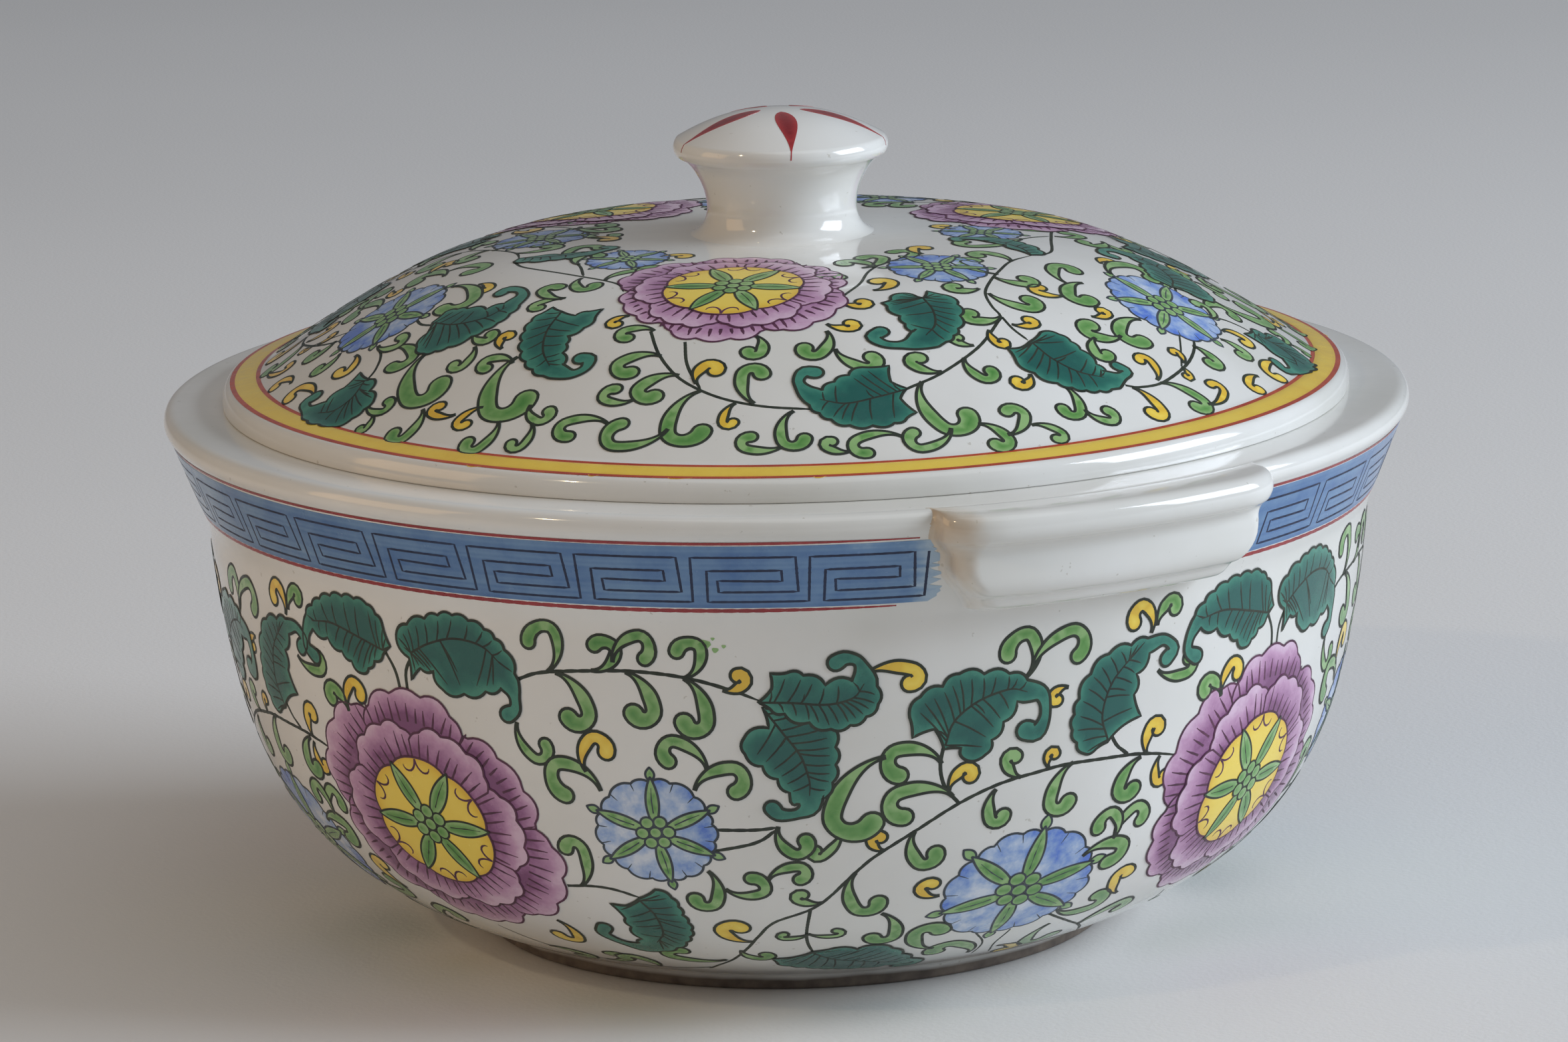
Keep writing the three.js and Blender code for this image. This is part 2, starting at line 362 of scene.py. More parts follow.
class Painting:
    """Motifs drawn at their places on a skin. lay() repeats them round the surface as coats and lines."""

    def __init__(self, skin, seed):
        self.skin = skin
        self.coats, self.lines = [], []
        self.strokes = 0
        self.chance = np.random.default_rng(seed)

    def fill(self, colour, origin, outline, level, tone=full_at(1.2), ink="ink", width=0.66, grain=1.6):
        """A coat of one colour inside a flat closed outline, with a drawn line round it. tone gives the
        enamel's share of full strength at each spot, and grain is the spacing of points inside."""
        low, high = outline.min(0), outline.max(0)
        xs = np.arange(low[0], high[0], grain)
        ys = np.arange(low[1], high[1], grain * 0.87)
        grid = np.stack(np.meshgrid(xs, ys), 2)
        grid[1::2, :, 0] += grain / 2
        grid = grid.reshape(-1, 2)
        grid = grid[inside(grid, outline)]
        if len(grid):
            grid = grid[edge_distance(grid, outline) > 0.4 * grain]
        flat = np.vstack([outline, grid])
        made = delaunay_2d_cdt([Vector(p) for p in flat], [], [list(range(len(outline)))], 1, 1e-5)
        flat = np.array([tuple(v) for v in made[0]])
        triangles = np.array([f for f in made[2] if len(f) == 3], int)
        depth = edge_distance(flat, outline)
        places = self.skin.wrap(flat, origin)
        rim = boundary_edges(triangles)
        self.coats.append((colour, places, triangles, rim, tone(flat, depth), level, origin[0]))
        if ink:
            self.line(np.vstack([outline, outline[:1]]), width, level, ink, origin)

    def line(self, line, width, level, ink, origin, taper=0, anchor=None):
        """A drawn line through flat points about an origin. It thins over its last share of 1 / taper, if
        taper is not 0. It keeps its shape round the anchor's azimuth, or the origin's, or stretches."""
        line = np.array(line, float)
        closed = np.allclose(line[0], line[-1])
        places = self.skin.wrap(line, origin)
        self.lines.append((ink, places, width, level, closed, taper, origin[0] if anchor is None else anchor))

    def vine(self, *places, width=0.8):
        """A smooth stem through places."""
        origin = places[0]
        flat = curve_through(self.skin.flatten(places, origin), 1.0)
        self.line(flat, width, -1, "ink", origin, taper=12, anchor="stretch")

    def scroll(self, root, bulb, bend, width, colour="green"):
        """A stroke that springs thin from root, swells, and hooks round into a bulb.
        bend is how far it swings to the left of the way there, as a share of a normal hook.
        Every second stroke lies one coat higher, so that neighbours can overlap."""
        self.strokes += 1
        level = self.strokes % 2
        flat = self.skin.flatten([bulb], root)[0]
        length = np.linalg.norm(flat)
        along = flat / length
        left = np.array([-along[1], along[0]])
        swing = abs(bend)
        side = math.copysign(1, bend)
        extra = swing - 1
        reach = 0.25 + 0.07 * extra
        turn = np.radians(np.linspace(92, -72, 14))
        hook = np.stack([1 + reach * (np.cos(turn) - 0.31), swing * (0.24 + 0.25 * np.sin(turn))], 1)
        body = sweep_points((0, 0), (0.12 - 0.12 * extra, 0.3 * swing), (0.56, 0.49 * swing), hook[0], 16)
        path = join(body, hook)
        line = evenly(length * (path[:, :1] * along + side * path[:, 1:] * left), 0.6)
        t = np.linspace(0, 1, len(line))
        half = width * (0.1 + 0.7 * ease(t, 0, 0.48) + 0.25 * ease(t, 0.72, 0.96))
        self.fill(colour, root, band_outline(line, half, half), level, full_at(width))

    def bud(self, root, bulb, bend, width):
        """A yellow scroll."""
        self.scroll(root, bulb, bend, width, "yellow")

    def leaf(self, rib, near, tail, far, bulb=1.5, thin=0.95, level=2):
        """A leaf: one scalloped margin from its base to the tail, the tail's curl, and the other margin back.
        bulb and thin are the half widths of the tail at its end and half way."""
        origin = rib[0]
        near, far = self.skin.flatten(near, origin), self.skin.flatten(far, origin)
        line = curve_through(np.vstack([(near[-1] + far[0]) / 2, self.skin.flatten(tail, origin)]), 0.6)
        t = np.linspace(0, 1, len(line))
        opening = np.linalg.norm(near[-1] - far[0]) / 2
        half = thin + (opening - thin) * (1 - ease(t, 0, 0.5)) + (bulb - thin) * ease(t, 0.55, 1)
        curl = band_outline(line, half, half)[1:-1]
        outward = 1 if turns_left(np.vstack([near, far])) else -1
        if outward > 0:
            curl = curl[::-1]
        outline = np.vstack([scallops(near, outward, 0), curl, scallops(far, outward, -1)[:-1]])
        self.fill("leaf", origin, outline, level, full_at(2.6))
        rib = curve_through(self.skin.flatten(rib, origin), 0.8)
        self.line(rib, 0.55, level, "ink", origin, taper=4)
        self.leaf_veins(rib, np.vstack([near, far[::-1]]), outline, origin, level)

    def leaf_veins(self, rib, margin, outline, origin, level):
        """Side veins that leave the rib and bend towards each notch and lobe of the margin."""
        halfway = (margin[:-1] + margin[1:]) / 2
        for spot in np.vstack([margin[1:-1], halfway]):
            gap = np.linalg.norm(rib - spot, axis=1)
            at = int(np.argmin(gap))
            if gap[at] < 2.0:
                continue
            root = rib[max(0, at - int(0.45 * gap[at] / 0.8))]
            end = root + 0.84 * (spot - root)
            middle = (root + end) / 2 + 0.12 * (rib[min(at + 1, len(rib) - 1)] - rib[max(at - 1, 0)])
            if not inside(evenly(np.array([root, middle, end]), 0.8), outline).all():
                continue
            self.line(curve_through([root, middle, end], 1.0), 0.45, level, "ink", origin, taper=4)

    def petal(self, origin, angle, near, far, half_width, level, ink):
        """A pointed green petal between two distances from the flower's centre."""
        t = np.linspace(0, 1, 14)
        width = half_width * np.sin(math.pi * np.clip(0.1 + 0.9 * t, 0, 1)) ** 0.8
        line = polar((0, 0), np.full(14, angle), near + (far - near) * t)
        width[-1] = 0.05
        self.fill("green", origin, band_outline(line, width, width), level, ink=ink, width=0.5)

    def blot(self, colour, origin, wide, high):
        """A small spot of stray enamel with no outline."""
        turn = np.arange(0, 360, 30)
        outline = polar((0, 0), turn, 1 + 0.16 * np.sin(np.radians(3 * turn + 40 * wide)))
        self.fill(colour, origin, outline * (wide, high), 0, ink=None, grain=0.8)

    def seed(self, origin, spot, radius, level, ink):
        """A round green seed."""
        outline = polar(spot, np.arange(0, 360, 24), np.full(15, radius))
        self.fill("green", origin, outline, level, ink=ink, width=0.45)

    def rosette(self, origin, radius, gap, level, ink, first):
        """Seven round seeds at the heart of a flower, six of them in a ring of radius gap."""
        self.seed(origin, (0, 0), radius, level, ink)
        for k in range(6):
            spot = polar((0, 0), np.array([first + 60 * k]), [gap])[0]
            self.seed(origin, spot, radius * 1.06, level, ink)

    def ruffle(self, origin, angle, half_angle, near, root, far, level, strength):
        """One ruffled petal of a peony, with dark strokes that start at root, where the petal above ends.
        A pale peony, with a strength under 1, has bolder strokes. The lid's peony is made pale as painted
        light from above."""
        x = np.linspace(-1, 1, 31)
        edge = far * (1 - 0.17 * np.abs(x) ** 4) * (1 - 0.05 * (1 - np.abs(np.cos(2 * math.pi * x)) ** 0.7))
        edge *= 1 + self.chance.uniform(-0.025, 0.025) * x
        outer = polar((0, 0), angle + half_angle * x, edge)
        inner = polar((0, 0), angle + half_angle * x[::-2], np.full(16, near))

        def tone(spots, depth):
            reach = np.hypot(spots[:, 0], spots[:, 1])
            return strength * np.clip(1 - (reach - root) / (far - root), 0, 1)

        self.fill("plum", origin, np.vstack([outer, inner]), level, tone, "plum_ink", 0.5)
        stroke_gap = 2.1
        bold = 0.62 if strength == 1 else 0.8
        strokes = max(3, int(math.radians(2 * half_angle) * root / stroke_gap))
        for k in range(strokes):
            at = angle + half_angle * (2 * (k + 0.5) / strokes - 1) * 0.9
            length = (far - root) * self.chance.uniform(0.46, 0.74)
            slip = self.chance.uniform(-1.5, 1.5)
            turn = np.array([at, at + slip / 2, at + slip])
            ends = polar((0, 0), turn, root - 0.4 + length * np.array([0, 0.5, 1]))
            self.line(ends, bold, level, "plum_ink", origin, taper=4)

    def peony(self, origin, yellow, inner, outer, strength=1.0):
        """Two rings of ruffled petals round a yellow disc with six green petals and a rosette."""
        for k in range(6):
            far = outer * (0.97 + 0.05 * math.sin(2.1 * k))
            self.ruffle(origin, 90 + 60 * k, 33, inner * 0.82, inner, far, 2 - k % 2, strength)
        for k in range(6):
            self.ruffle(origin, 60 + 60 * k, 31.5, yellow * 0.9, yellow, inner, 4 - k % 2, strength)
        around = np.arange(0, 360, 5.0)
        lobe = np.abs(np.sin(np.radians(3 * around)))
        rim = polar((0, 0), around, yellow * (1 - 0.07 * (1 - lobe) ** 2))
        self.fill("yellow", origin, rim, 5, full_at(3.6), "plum_ink", 0.5, 1.3)
        for k in range(6):
            middle = 30 + 60 * k
            for side in (-1, 1):
                turn = middle + side * np.array([0, 2, 8, 14, 15])
                curl = polar((0, 0), turn, yellow * np.array([0.98, 0.87, 0.8, 0.83, 0.9]))
                self.line(curve_through(curl, 0.6), 0.55, 5, "plum_ink", origin, taper=4)
            angle = 60 * k + 2 * math.sin(5 * k)
            self.petal(origin, angle, 0.2 * yellow, 0.97 * yellow, 0.12 * yellow, 6, "ink")
            self.fold(origin, angle, 0.34 * yellow, 0.84 * yellow, 6, "ink")
        self.rosette(origin, 0.095 * yellow, 0.2 * yellow, 7, "ink", 90)

    def fold(self, origin, angle, near, far, level, ink):
        """The line down the middle of a green petal."""
        ends = polar((0, 0), np.array([angle, angle + 1, angle]), np.array([near, (near + far) / 2, far]))
        self.line(ends, 0.35, level, ink, origin, taper=4)

    def blue_flower(self, origin, radius, angles, strength=1.0):
        """A blue disc with ruffled edge, split by six green petals whose tips pass the edge."""
        def tone(spots, depth):
            return strength * (0.3 + 0.5 * np.hypot(spots[:, 0], spots[:, 1]) / radius)

        angles = list(angles)
        for this, after in zip(angles, angles[1:] + [angles[0] + 360]):
            x = np.linspace(0, 1, 25)
            lobe = np.abs(np.sin(3 * math.pi * x + 0.3 * np.sin(2 * math.pi * x))) ** 0.5
            edge = radius * (0.88 + 0.05 * np.sin(math.pi * x) + 0.08 * lobe)
            edge *= 1 + self.chance.uniform(-0.015, 0.015)
            turn = this + (after - this) * x
            heart = polar((0, 0), turn[::-6], np.full(5, 0.16 * radius))
            outline = np.vstack([polar((0, 0), turn, edge), heart])
            self.fill("blue", origin, outline, 0, tone, "slate_ink", 0.55, 1.2)
            for share in (0.3, 0.66):
                angle = this + (after - this) * share
                spoke = polar((0, 0), np.full(3, angle), radius * np.array([0.96, 0.88, 0.8]))
                self.line(spoke, 0.3, 0, "slate_ink", origin, taper=4)
        for angle in angles:
            self.petal(origin, angle, 0.96 * radius, 1.17 * radius, 0.07 * radius, 0, "slate_ink")
            self.petal(origin, angle, 0.2 * radius, 1.0 * radius, 0.105 * radius, 1, "slate_ink")
            self.fold(origin, angle, 0.36 * radius, 0.82 * radius, 1, "slate_ink")
        self.rosette(origin, 0.1 * radius, 0.215 * radius, 2, "slate_ink", angles[0] + 30)

    def lay(self, shells, repeats, source):
        """Lays every motif once for each (first azimuth, scale) repeat. source is the first azimuth and the
        span that it is drawn in. Motifs stand closer where scale is under 1, and are squeezed by only half as
        much. Stems stretch."""
        low, span = source
        base, length = self.skin.climb[0], self.skin.climb[-1] - self.skin.climb[0]

        def chart(places):
            across = (places[:, 0] - low + 0.15 * span) / (1.3 * span)
            return np.stack([across, (places[:, 1] - base) / length], 1)

        def moved(places, anchor, start, scale):
            if anchor == "stretch":
                return np.stack([start + (places[:, 0] - low) * scale, places[:, 1]], 1)
            turn = start + (anchor - low) * scale + (places[:, 0] - anchor) * (1 + scale) / 2
            return np.stack([turn, places[:, 1]], 1)

        for start, scale in repeats:
            for colour, places, triangles, rim, tones, level, anchor in self.coats:
                spots = moved(places, anchor, start, scale)
                add_coat(shells[colour], self.skin, spots, triangles, rim, tones, chart(places), level)
            for ink, places, width, level, closed, taper, anchor in self.lines:
                spots = moved(places, anchor, start, scale)
                add_line(shells[ink], self.skin, spots, width, level, closed, taper, chart(places))


def boundary_edges(triangles):
    """Directed edges that belong to one triangle only."""
    edges = np.concatenate([triangles[:, [0, 1]], triangles[:, [1, 2]], triangles[:, [2, 0]]])
    known = set(map(tuple, edges.tolist()))
    return np.array([e for e in edges.tolist() if (e[1], e[0]) not in known], int)


def add_coat(shell, skin, places, triangles, rim, tones, chart, level):
    """A closed thin solid over the triangles."""
    count = len(places)
    bottom = -buried if level <= 0 else level * coat + clearance
    points = np.vstack([skin.lay(places, (level + 1) * coat), skin.lay(places, bottom)])
    faces = triangles.tolist()
    faces += (triangles[:, ::-1] + count).tolist()
    faces += np.stack([rim[:, 1], rim[:, 0], rim[:, 0] + count, rim[:, 1] + count], 1).tolist()
    shown = [True] * len(triangles) + [False] * (len(triangles) + len(rim))
    shell.add(points, faces, np.tile(tones, 2), np.tile(chart, (2, 1)), shown)


def add_line(shell, skin, places, width, level, closed, taper, chart):
    """A fine ridge with a three-sided section along the places."""
    if closed:
        places, chart = places[:-1], chart[:-1]
    count = len(places)
    base = (level + 1) * coat - sink
    ground = skin.lay(places, base)
    if closed:
        along = np.roll(ground, -1, axis=0) - np.roll(ground, 1, axis=0)
    else:
        along = np.gradient(ground, axis=0)
    across = np.cross(along, skin.outward(places))
    across /= np.linalg.norm(across, axis=1)[:, None]
    half = np.full(count, width / 2)
    if taper:
        t = np.linspace(0, 1, count)
        half *= 0.4 + 0.6 * np.minimum(1, taper * (1 - t))
    across *= half[:, None]
    crest = skin.lay(places, (level + 1) * coat + ridge)
    points = np.vstack([ground - across, crest, ground + across])
    a = np.arange(count if closed else count - 1)
    b = (a + 1) % count
    faces = []
    shown = []
    for low, high in ((0, 1), (1, 2), (2, 0)):
        quads = np.stack([a + low * count, a + high * count, b + high * count, b + low * count], 1)
        faces += quads.tolist()
        shown += [low != 2] * len(a)
    if not closed:
        end = count - 1
        faces += [[0, 2 * count, count], [end, end + count, end + 2 * count]]
        shown += [False, False]
    nudge = np.array([0.0, 0.0004])
    charts = np.vstack([chart - nudge, chart, chart + nudge])
    shell.add(points, faces, np.full(3 * count, 0.5), charts, shown)


def add_band(shell, skin, azimuths, climbs, tones, ring=False):
    """A closed band over (rows, columns) of azimuths and climbs. The last column of a ring is its first."""
    rows, columns = azimuths.shape
    kept = columns - 1 if ring else columns
    index = np.arange(rows * kept).reshape(rows, kept)
    if ring:
        index = np.hstack([index, index[:, :1]])
    a, b = index[:-1, :-1].ravel(), index[:-1, 1:].ravel()
    c, d = index[1:, 1:].ravel(), index[1:, :-1].ravel()
    triangles = np.vstack([np.stack([a, b, c], 1), np.stack([a, c, d], 1)])
    places = np.stack([azimuths[:, :kept].ravel(), climbs[:, :kept].ravel()], 1)
    corner = np.array([azimuths.min(), climbs.min()])
    size = np.array([azimuths.max(), climbs.max()]) - corner
    chart = 0.02 + 0.96 * (places - corner) / size
    add_coat(shell, skin, places, triangles, boundary_edges(triangles), tones[:, :kept].ravel(), chart, 0)


# ---------------------------------------------------------------- materials

def shader(name):
    """A new material with its node tree and its main shader."""
    finish = bpy.data.materials.new(name)
    finish.use_nodes = True
    tree = finish.node_tree
    return finish, tree, tree.nodes["Principled BSDF"]


def node(tree, kind, **inputs):
    """A new node with these input values."""
    made = tree.nodes.new(kind)
    for key, value in inputs.items():
        made.inputs[key.replace("_", " ")].default_value = value
    return made


def noise(tree, scale, detail, roughness=0.5):
    """Noise in object space, with features about 1/scale metres wide."""
    spot = tree.nodes.new("ShaderNodeTexCoord")
    made = node(tree, "ShaderNodeTexNoise", Scale=scale, Detail=detail, Roughness=roughness)
    tree.links.new(spot.outputs["Object"], made.inputs["Vector"])
    return made.outputs["Fac"]


def spread(tree, value, low, high, out_low, out_high):
    """The value's range from low to high stretched to another range."""
    made = node(tree, "ShaderNodeMapRange")
    for key, number in (("From Min", low), ("From Max", high), ("To Min", out_low), ("To Max", out_high)):
        made.inputs[key].default_value = number
    tree.links.new(value, made.inputs["Value"])
    return made.outputs["Result"]


def math_node(tree, operation, first, second):
    """A sum on two values, each a number or a node's output."""
    made = tree.nodes.new("ShaderNodeMath")
    made.operation = operation
    for socket, value in zip(made.inputs, (first, second)):
        if isinstance(value, (int, float)):
            socket.default_value = value
        else:
            tree.links.new(value, socket)
    return made.outputs["Value"]


def ramp(tree, value, stops):
    """Colour ramp with (position, colour) stops."""
    made = tree.nodes.new("ShaderNodeValToRGB")
    elements = made.color_ramp.elements
    while len(elements) < len(stops):
        elements.new(0.5)
    for element, (position, colour) in zip(elements, stops):
        element.position = position
        element.color = linear(colour)
    tree.links.new(value, made.inputs["Fac"])
    return made.outputs["Color"]


def linear(colour):
    """A screen colour of three 0 to 255 values as linear light."""
    def one(value):
        value /= 255
        return value / 12.92 if value <= 0.04045 else ((value + 0.055) / 1.055) ** 2.4
    return (*[one(value) for value in colour], 1.0)


def blend_colours(tree, share, first, second):
    """The first colour with a share of the second."""
    made = tree.nodes.new("ShaderNodeMix")
    made.data_type = "RGBA"
    sockets = [s for s in made.inputs if s.type == "RGBA"]
    for socket, value in zip(sockets, (first, second)):
        if isinstance(value, tuple):
            socket.default_value = value
        else:
            tree.links.new(value, socket)
    tree.links.new(share, made.inputs["Factor"])
    return [s for s in made.outputs if s.type == "RGBA"][0]


def bump(tree, principled, height, strength, distance):
    """Fine relief in a material."""
    made = node(tree, "ShaderNodeBump", Strength=strength, Distance=distance)
    tree.links.new(height, made.inputs["Height"])
    tree.links.new(made.outputs["Normal"], principled.inputs["Normal"])


clay_and_shade_height, glaze_height = 1.9, 3.0  # bare clay darkened with painted shade up to the first, glaze from the second
reflection_reach = 6.0  # how far the painted warm reflection runs in from a handle's end


def porcelain(name, bare_and_shaded_foot=False, warm_reflection_end=False):
    """Glossy grey-white glaze with faint clouding, specks and bumps. The foot's edge can be bare clay,
    darkened with painted shade, and one end of the handles can carry a painted warm brown reflection."""
    finish, tree, principled = shader(name)
    cloud = noise(tree, 22, 4)
    tint = ramp(tree, spread(tree, cloud, 0.3, 0.7, 0, 1),
                [(0, (220, 219, 212)), (0.5, (228, 227, 222)), (1, (234, 234, 230))])
    white = (255, 255, 255)
    specks = ramp(tree, noise(tree, 620, 2), [(0, white), (0.24, white), (0.27, (0, 0, 0))])
    speck_share = math_node(tree, "MULTIPLY", brightness(tree, specks), 0.35)
    colour = blend_colours(tree, speck_share, tint, linear((150, 140, 120)))
    rough = spread(tree, noise(tree, 60, 3), 0.3, 0.7, 0.07, 0.14)
    if bare_and_shaded_foot:
        # bare clay with painted shade: the clay colour is darkened and taken high up the foot to stand in for
        # the shade under the bowl
        low = fading_share(tree, "Z", clay_and_shade_height, glaze_height, 1, 0.3, noise(tree, 60, 2))
        clay_and_shade = ramp(tree, noise(tree, 300, 4), [(0.3, (88, 78, 70)), (0.7, (122, 110, 98))])
        colour = blend_colours(tree, low, colour, clay_and_shade)
        rough = math_node(tree, "ADD", rough, math_node(tree, "MULTIPLY", low, 0.6))
    if warm_reflection_end:
        # painted reflection: a warm brown patch at one end of each handle stands in for the warm light from
        # the left
        painted_reflection = fading_share(tree, "Y", -grip_length, reflection_reach - grip_length, 0.62, 2, noise(tree, 120, 3))
        colour = blend_colours(tree, painted_reflection, colour, linear((186, 152, 104)))
    tree.links.new(colour, principled.inputs["Base Color"])
    tree.links.new(rough, principled.inputs["Roughness"])
    principled.inputs["Coat Weight"].default_value = 0.35
    principled.inputs["Coat Roughness"].default_value = 0.04
    orange_peel = math_node(tree, "MULTIPLY", noise(tree, 260, 2), 0.12)
    bump(tree, principled, math_node(tree, "ADD", noise(tree, 45, 2), orange_peel), 0.12, 0.0012)
    return finish


def brightness(tree, colour):
    """A colour's lightness as a value."""
    made = tree.nodes.new("ShaderNodeRGBToBW")
    tree.links.new(colour, made.inputs["Color"])
    return made.outputs["Val"]


def fading_share(tree, axis, start, end, most, waver, wobble):
    """A share that falls from most to 0 between two places on an axis. Its border wavers with a noise, by up
    to waver millimetres."""
    spot = tree.nodes.new("ShaderNodeTexCoord")
    split = tree.nodes.new("ShaderNodeSeparateXYZ")
    tree.links.new(spot.outputs["Object"], split.inputs["Vector"])
    shift = spread(tree, wobble, 0.3, 0.7, -waver * METRE, waver * METRE)
    place = math_node(tree, "ADD", split.outputs[axis], shift)
    return spread(tree, place, start * METRE, end * METRE, most, 0)


def enamel(name, stops, roughness, uneven, grain=150.0, glossy=0.25):
    """Overglaze enamel whose colour follows how thickly it lies, with brush unevenness."""
    finish, tree, principled = shader(name)
    tone = tree.nodes.new("ShaderNodeAttribute")
    tone.attribute_name = "tone"
    patch = spread(tree, noise(tree, grain, 4, 0.6), 0.25, 0.75, -uneven, uneven)
    broad = spread(tree, noise(tree, grain / 5, 2), 0.3, 0.7, -0.5 * uneven, 0.5 * uneven)
    value = math_node(tree, "ADD", math_node(tree, "ADD", tone.outputs["Fac"], patch), broad)
    tree.links.new(ramp(tree, value, stops), principled.inputs["Base Color"])
    rough = spread(tree, noise(tree, 3 * grain, 2), 0.3, 0.7, roughness * 0.75, roughness * 1.4)
    tree.links.new(rough, principled.inputs["Roughness"])
    principled.inputs["Coat Weight"].default_value = glossy
    principled.inputs["Coat Roughness"].default_value = 0.08
    bump(tree, principled, noise(tree, 2.5 * grain, 3), 0.1, 0.0004)
    return finish


def ink_finish(name, pale, dark):
    """Matt ink of the drawn lines."""
    return enamel(name, [(0, pale), (1, dark)], 0.42, 0.5, 220, glossy=0)


finishes = {
    "leaf": enamel("leaf_enamel", [(0, (66, 138, 118)), (0.5, (40, 112, 98)), (1, (26, 92, 84))], 0.22, 0.4),
    "green": enamel("green_enamel", [(0, (150, 188, 124)), (0.5, (110, 160, 88)), (1, (80, 140, 66))],
                    0.2, 0.3),
    "yellow": enamel("yellow_enamel", [(0, (230, 188, 62)), (0.35, (240, 205, 74)), (1, (247, 219, 94))],
                     0.2, 0.2),
    "plum": enamel("plum_enamel", [(0, (220, 190, 212)), (0.35, (196, 152, 186)), (0.8, (154, 102, 146)),
                                   (1, (126, 74, 118))], 0.2, 0.3, 190),
    "blue": enamel("blue_enamel", [(0.15, (216, 224, 236)), (0.5, (168, 190, 224)), (0.8, (124, 156, 216)),
                                   (1, (86, 124, 212))], 0.2, 0.5, 210),
    "wash": enamel("blue_wash", [(0, (164, 186, 204)), (0.4, (110, 146, 184)), (1, (74, 114, 166))],
                   0.2, 0.3, 120),
    "red": enamel("red_enamel", [(0, (168, 48, 50)), (1, (130, 22, 30))], 0.25, 0.4, 200),
    "orange_red": enamel("orange_red_enamel", [(0, (200, 82, 42)), (1, (160, 42, 24))], 0.25, 0.4, 200),
    "ink": ink_finish("green_black_ink", (52, 60, 46), (26, 34, 26)),
    "plum_ink": ink_finish("plum_ink", (98, 52, 80), (58, 26, 48)),
    "slate_ink": ink_finish("slate_ink", (72, 80, 88), (38, 46, 54)),
    "key_ink": ink_finish("key_ink", (30, 48, 84), (14, 26, 56)),
}
bowl_finish = porcelain("bowl_porcelain", bare_and_shaded_foot=True)
handle_finish = porcelain("handle_porcelain", warm_reflection_end=True)
lid_finish = porcelain("lid_porcelain")


# ---------------------------------------------------------------- bowl

foot = {"radius": rim_radius - 58.5, "height": 3.4, "width": 5.4, "edge": 1.0, "recess": 5.2}
wall_foot = (rim_radius - 56, 3.6)
shoulder = (rim_radius - 8.2, seat_height - 25.6)
collar_base = (rim_radius - 7, seat_height - 19.6)
collar_top = (rim_radius - 1, seat_height - 4.5)
rim_rounding = 2.6
mouth_radius = rim_radius - 16.2
mouth_edge = 1.6
cavity_top = (rim_radius - 15.2, seat_height - 21.6)
floor_radius = rim_radius - 74.5
floor_height = 10.4


def foot_outline():
    """Recess under the bowl and the foot ring, out to the foot of the wall."""
    outer = foot["radius"]
    inner = outer - foot["width"]
    edge = foot["edge"]
    recess = foot["recess"]
    return join((0, recess), trace(
        (2, recess),
        ((inner - 4, recess - 0.4), 6),
        ((inner - 3.4, recess - 0.5), 1),
        ((inner, recess - 1), (inner, edge), 6),
        ((inner, 0), (inner + edge, 0), 6),
        ((outer - edge, 0), 10),
        ((outer, 0), (outer, edge), 6),
        ((outer + 0.2, foot["height"]), wall_foot, 6),
    ))


def wall_outline():
    """Outside of the bowl, from the foot up to where the rim starts to round over."""
    return trace(
        wall_foot,
        ((rim_radius - 20.4, 16.9), (rim_radius - 12.6, 35.7), shoulder, 90),
        ((shoulder[0] + 0.1, collar_base[1] - 2), collar_base, 5),
        (collar_top, 1.5),
        ((rim_radius, collar_top[1] + 1), (rim_radius, seat_height - rim_rounding), 4),
    )


def inside_outline():
    """Over the rim, along the seat and down the hollow to the middle of the floor."""
    return trace(
        (rim_radius, seat_height - rim_rounding),
        ((rim_radius, seat_height), (rim_radius - rim_rounding, seat_height), 10),
        ((mouth_radius + mouth_edge, seat_height), 2),
        ((mouth_radius, seat_height), (mouth_radius, seat_height - mouth_edge), 6),
        (cavity_top, 4),
        ((rim_radius - 15.6, 44), (rim_radius - 20.2, 12), (floor_radius, floor_height), 50),
        ((2, floor_height), 5),
        ((0, floor_height), 2),
    )


bowl_skin = Skin(wall_outline())


def bowl():
    """The glazed bowl with its foot ring, collar, rim and seat."""
    outline = join(foot_outline(), wall_outline(), inside_outline())
    body = turned_piece("bowl_glazed_body", outline, bowl_finish, "bowl")
    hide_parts("bowl_body")


# ---------------------------------------------------------------- handles

grip_reach = grip_high.x - rim_radius
grip_bottom = grip_low.z
lip_height = 6.4
lip_set_back = 3.6


def grip_rows():
    """Matching points of the bare bowl wall and the handle's front, from under the handle up over the rim,
    with the half length and the corner rounding of the handle at each."""
    outer = rim_radius + grip_reach
    block = outer - lip_set_back
    lip_bottom = seat_height - lip_height
    low = grip_bottom
    front = trace(
        (collar_base[0], low - 0.6),
        ((block - 4.2, low - 0.2), (block - 3.4, low + 1.8), 6),
        ((block - 3.1, low + 2.9), (block - 2.2, low + 3.2), 5),
        ((block, low + 4), (block, low + 7), 6),
        ((block, lip_bottom - 2.6), 1),
        ((block - 0.4, lip_bottom - 0.2), (outer - 1.6, lip_bottom + 0.8), 8),
        ((outer, lip_bottom + 1.5), (outer, seat_height - 3), 7),
        ((outer, seat_height), (outer - 3, seat_height), 8),
    )
    skin_radius = np.interp(front[:, 1], bowl_skin.outline[:, 1], bowl_skin.outline[:, 0])
    rounding = np.clip((front[:, 1] - (seat_height - rim_rounding)) / rim_rounding, 0, 1)
    skin_radius -= rim_rounding * (1 - np.sqrt(1 - np.minimum(rounding, 0.9999) ** 2))
    wall = np.stack([skin_radius, front[:, 1]], 1)
    in_lip = ease(front[:, 1], lip_bottom - 2.5, lip_bottom + 1.5)
    taper = ease(front[:, 1], low - 1, low + 9)
    half_length = (grip_length - 8) + 5.8 * taper + 2.2 * in_lip
    corner = 4.0 + 7.0 * in_lip
    return wall, front, half_length, corner


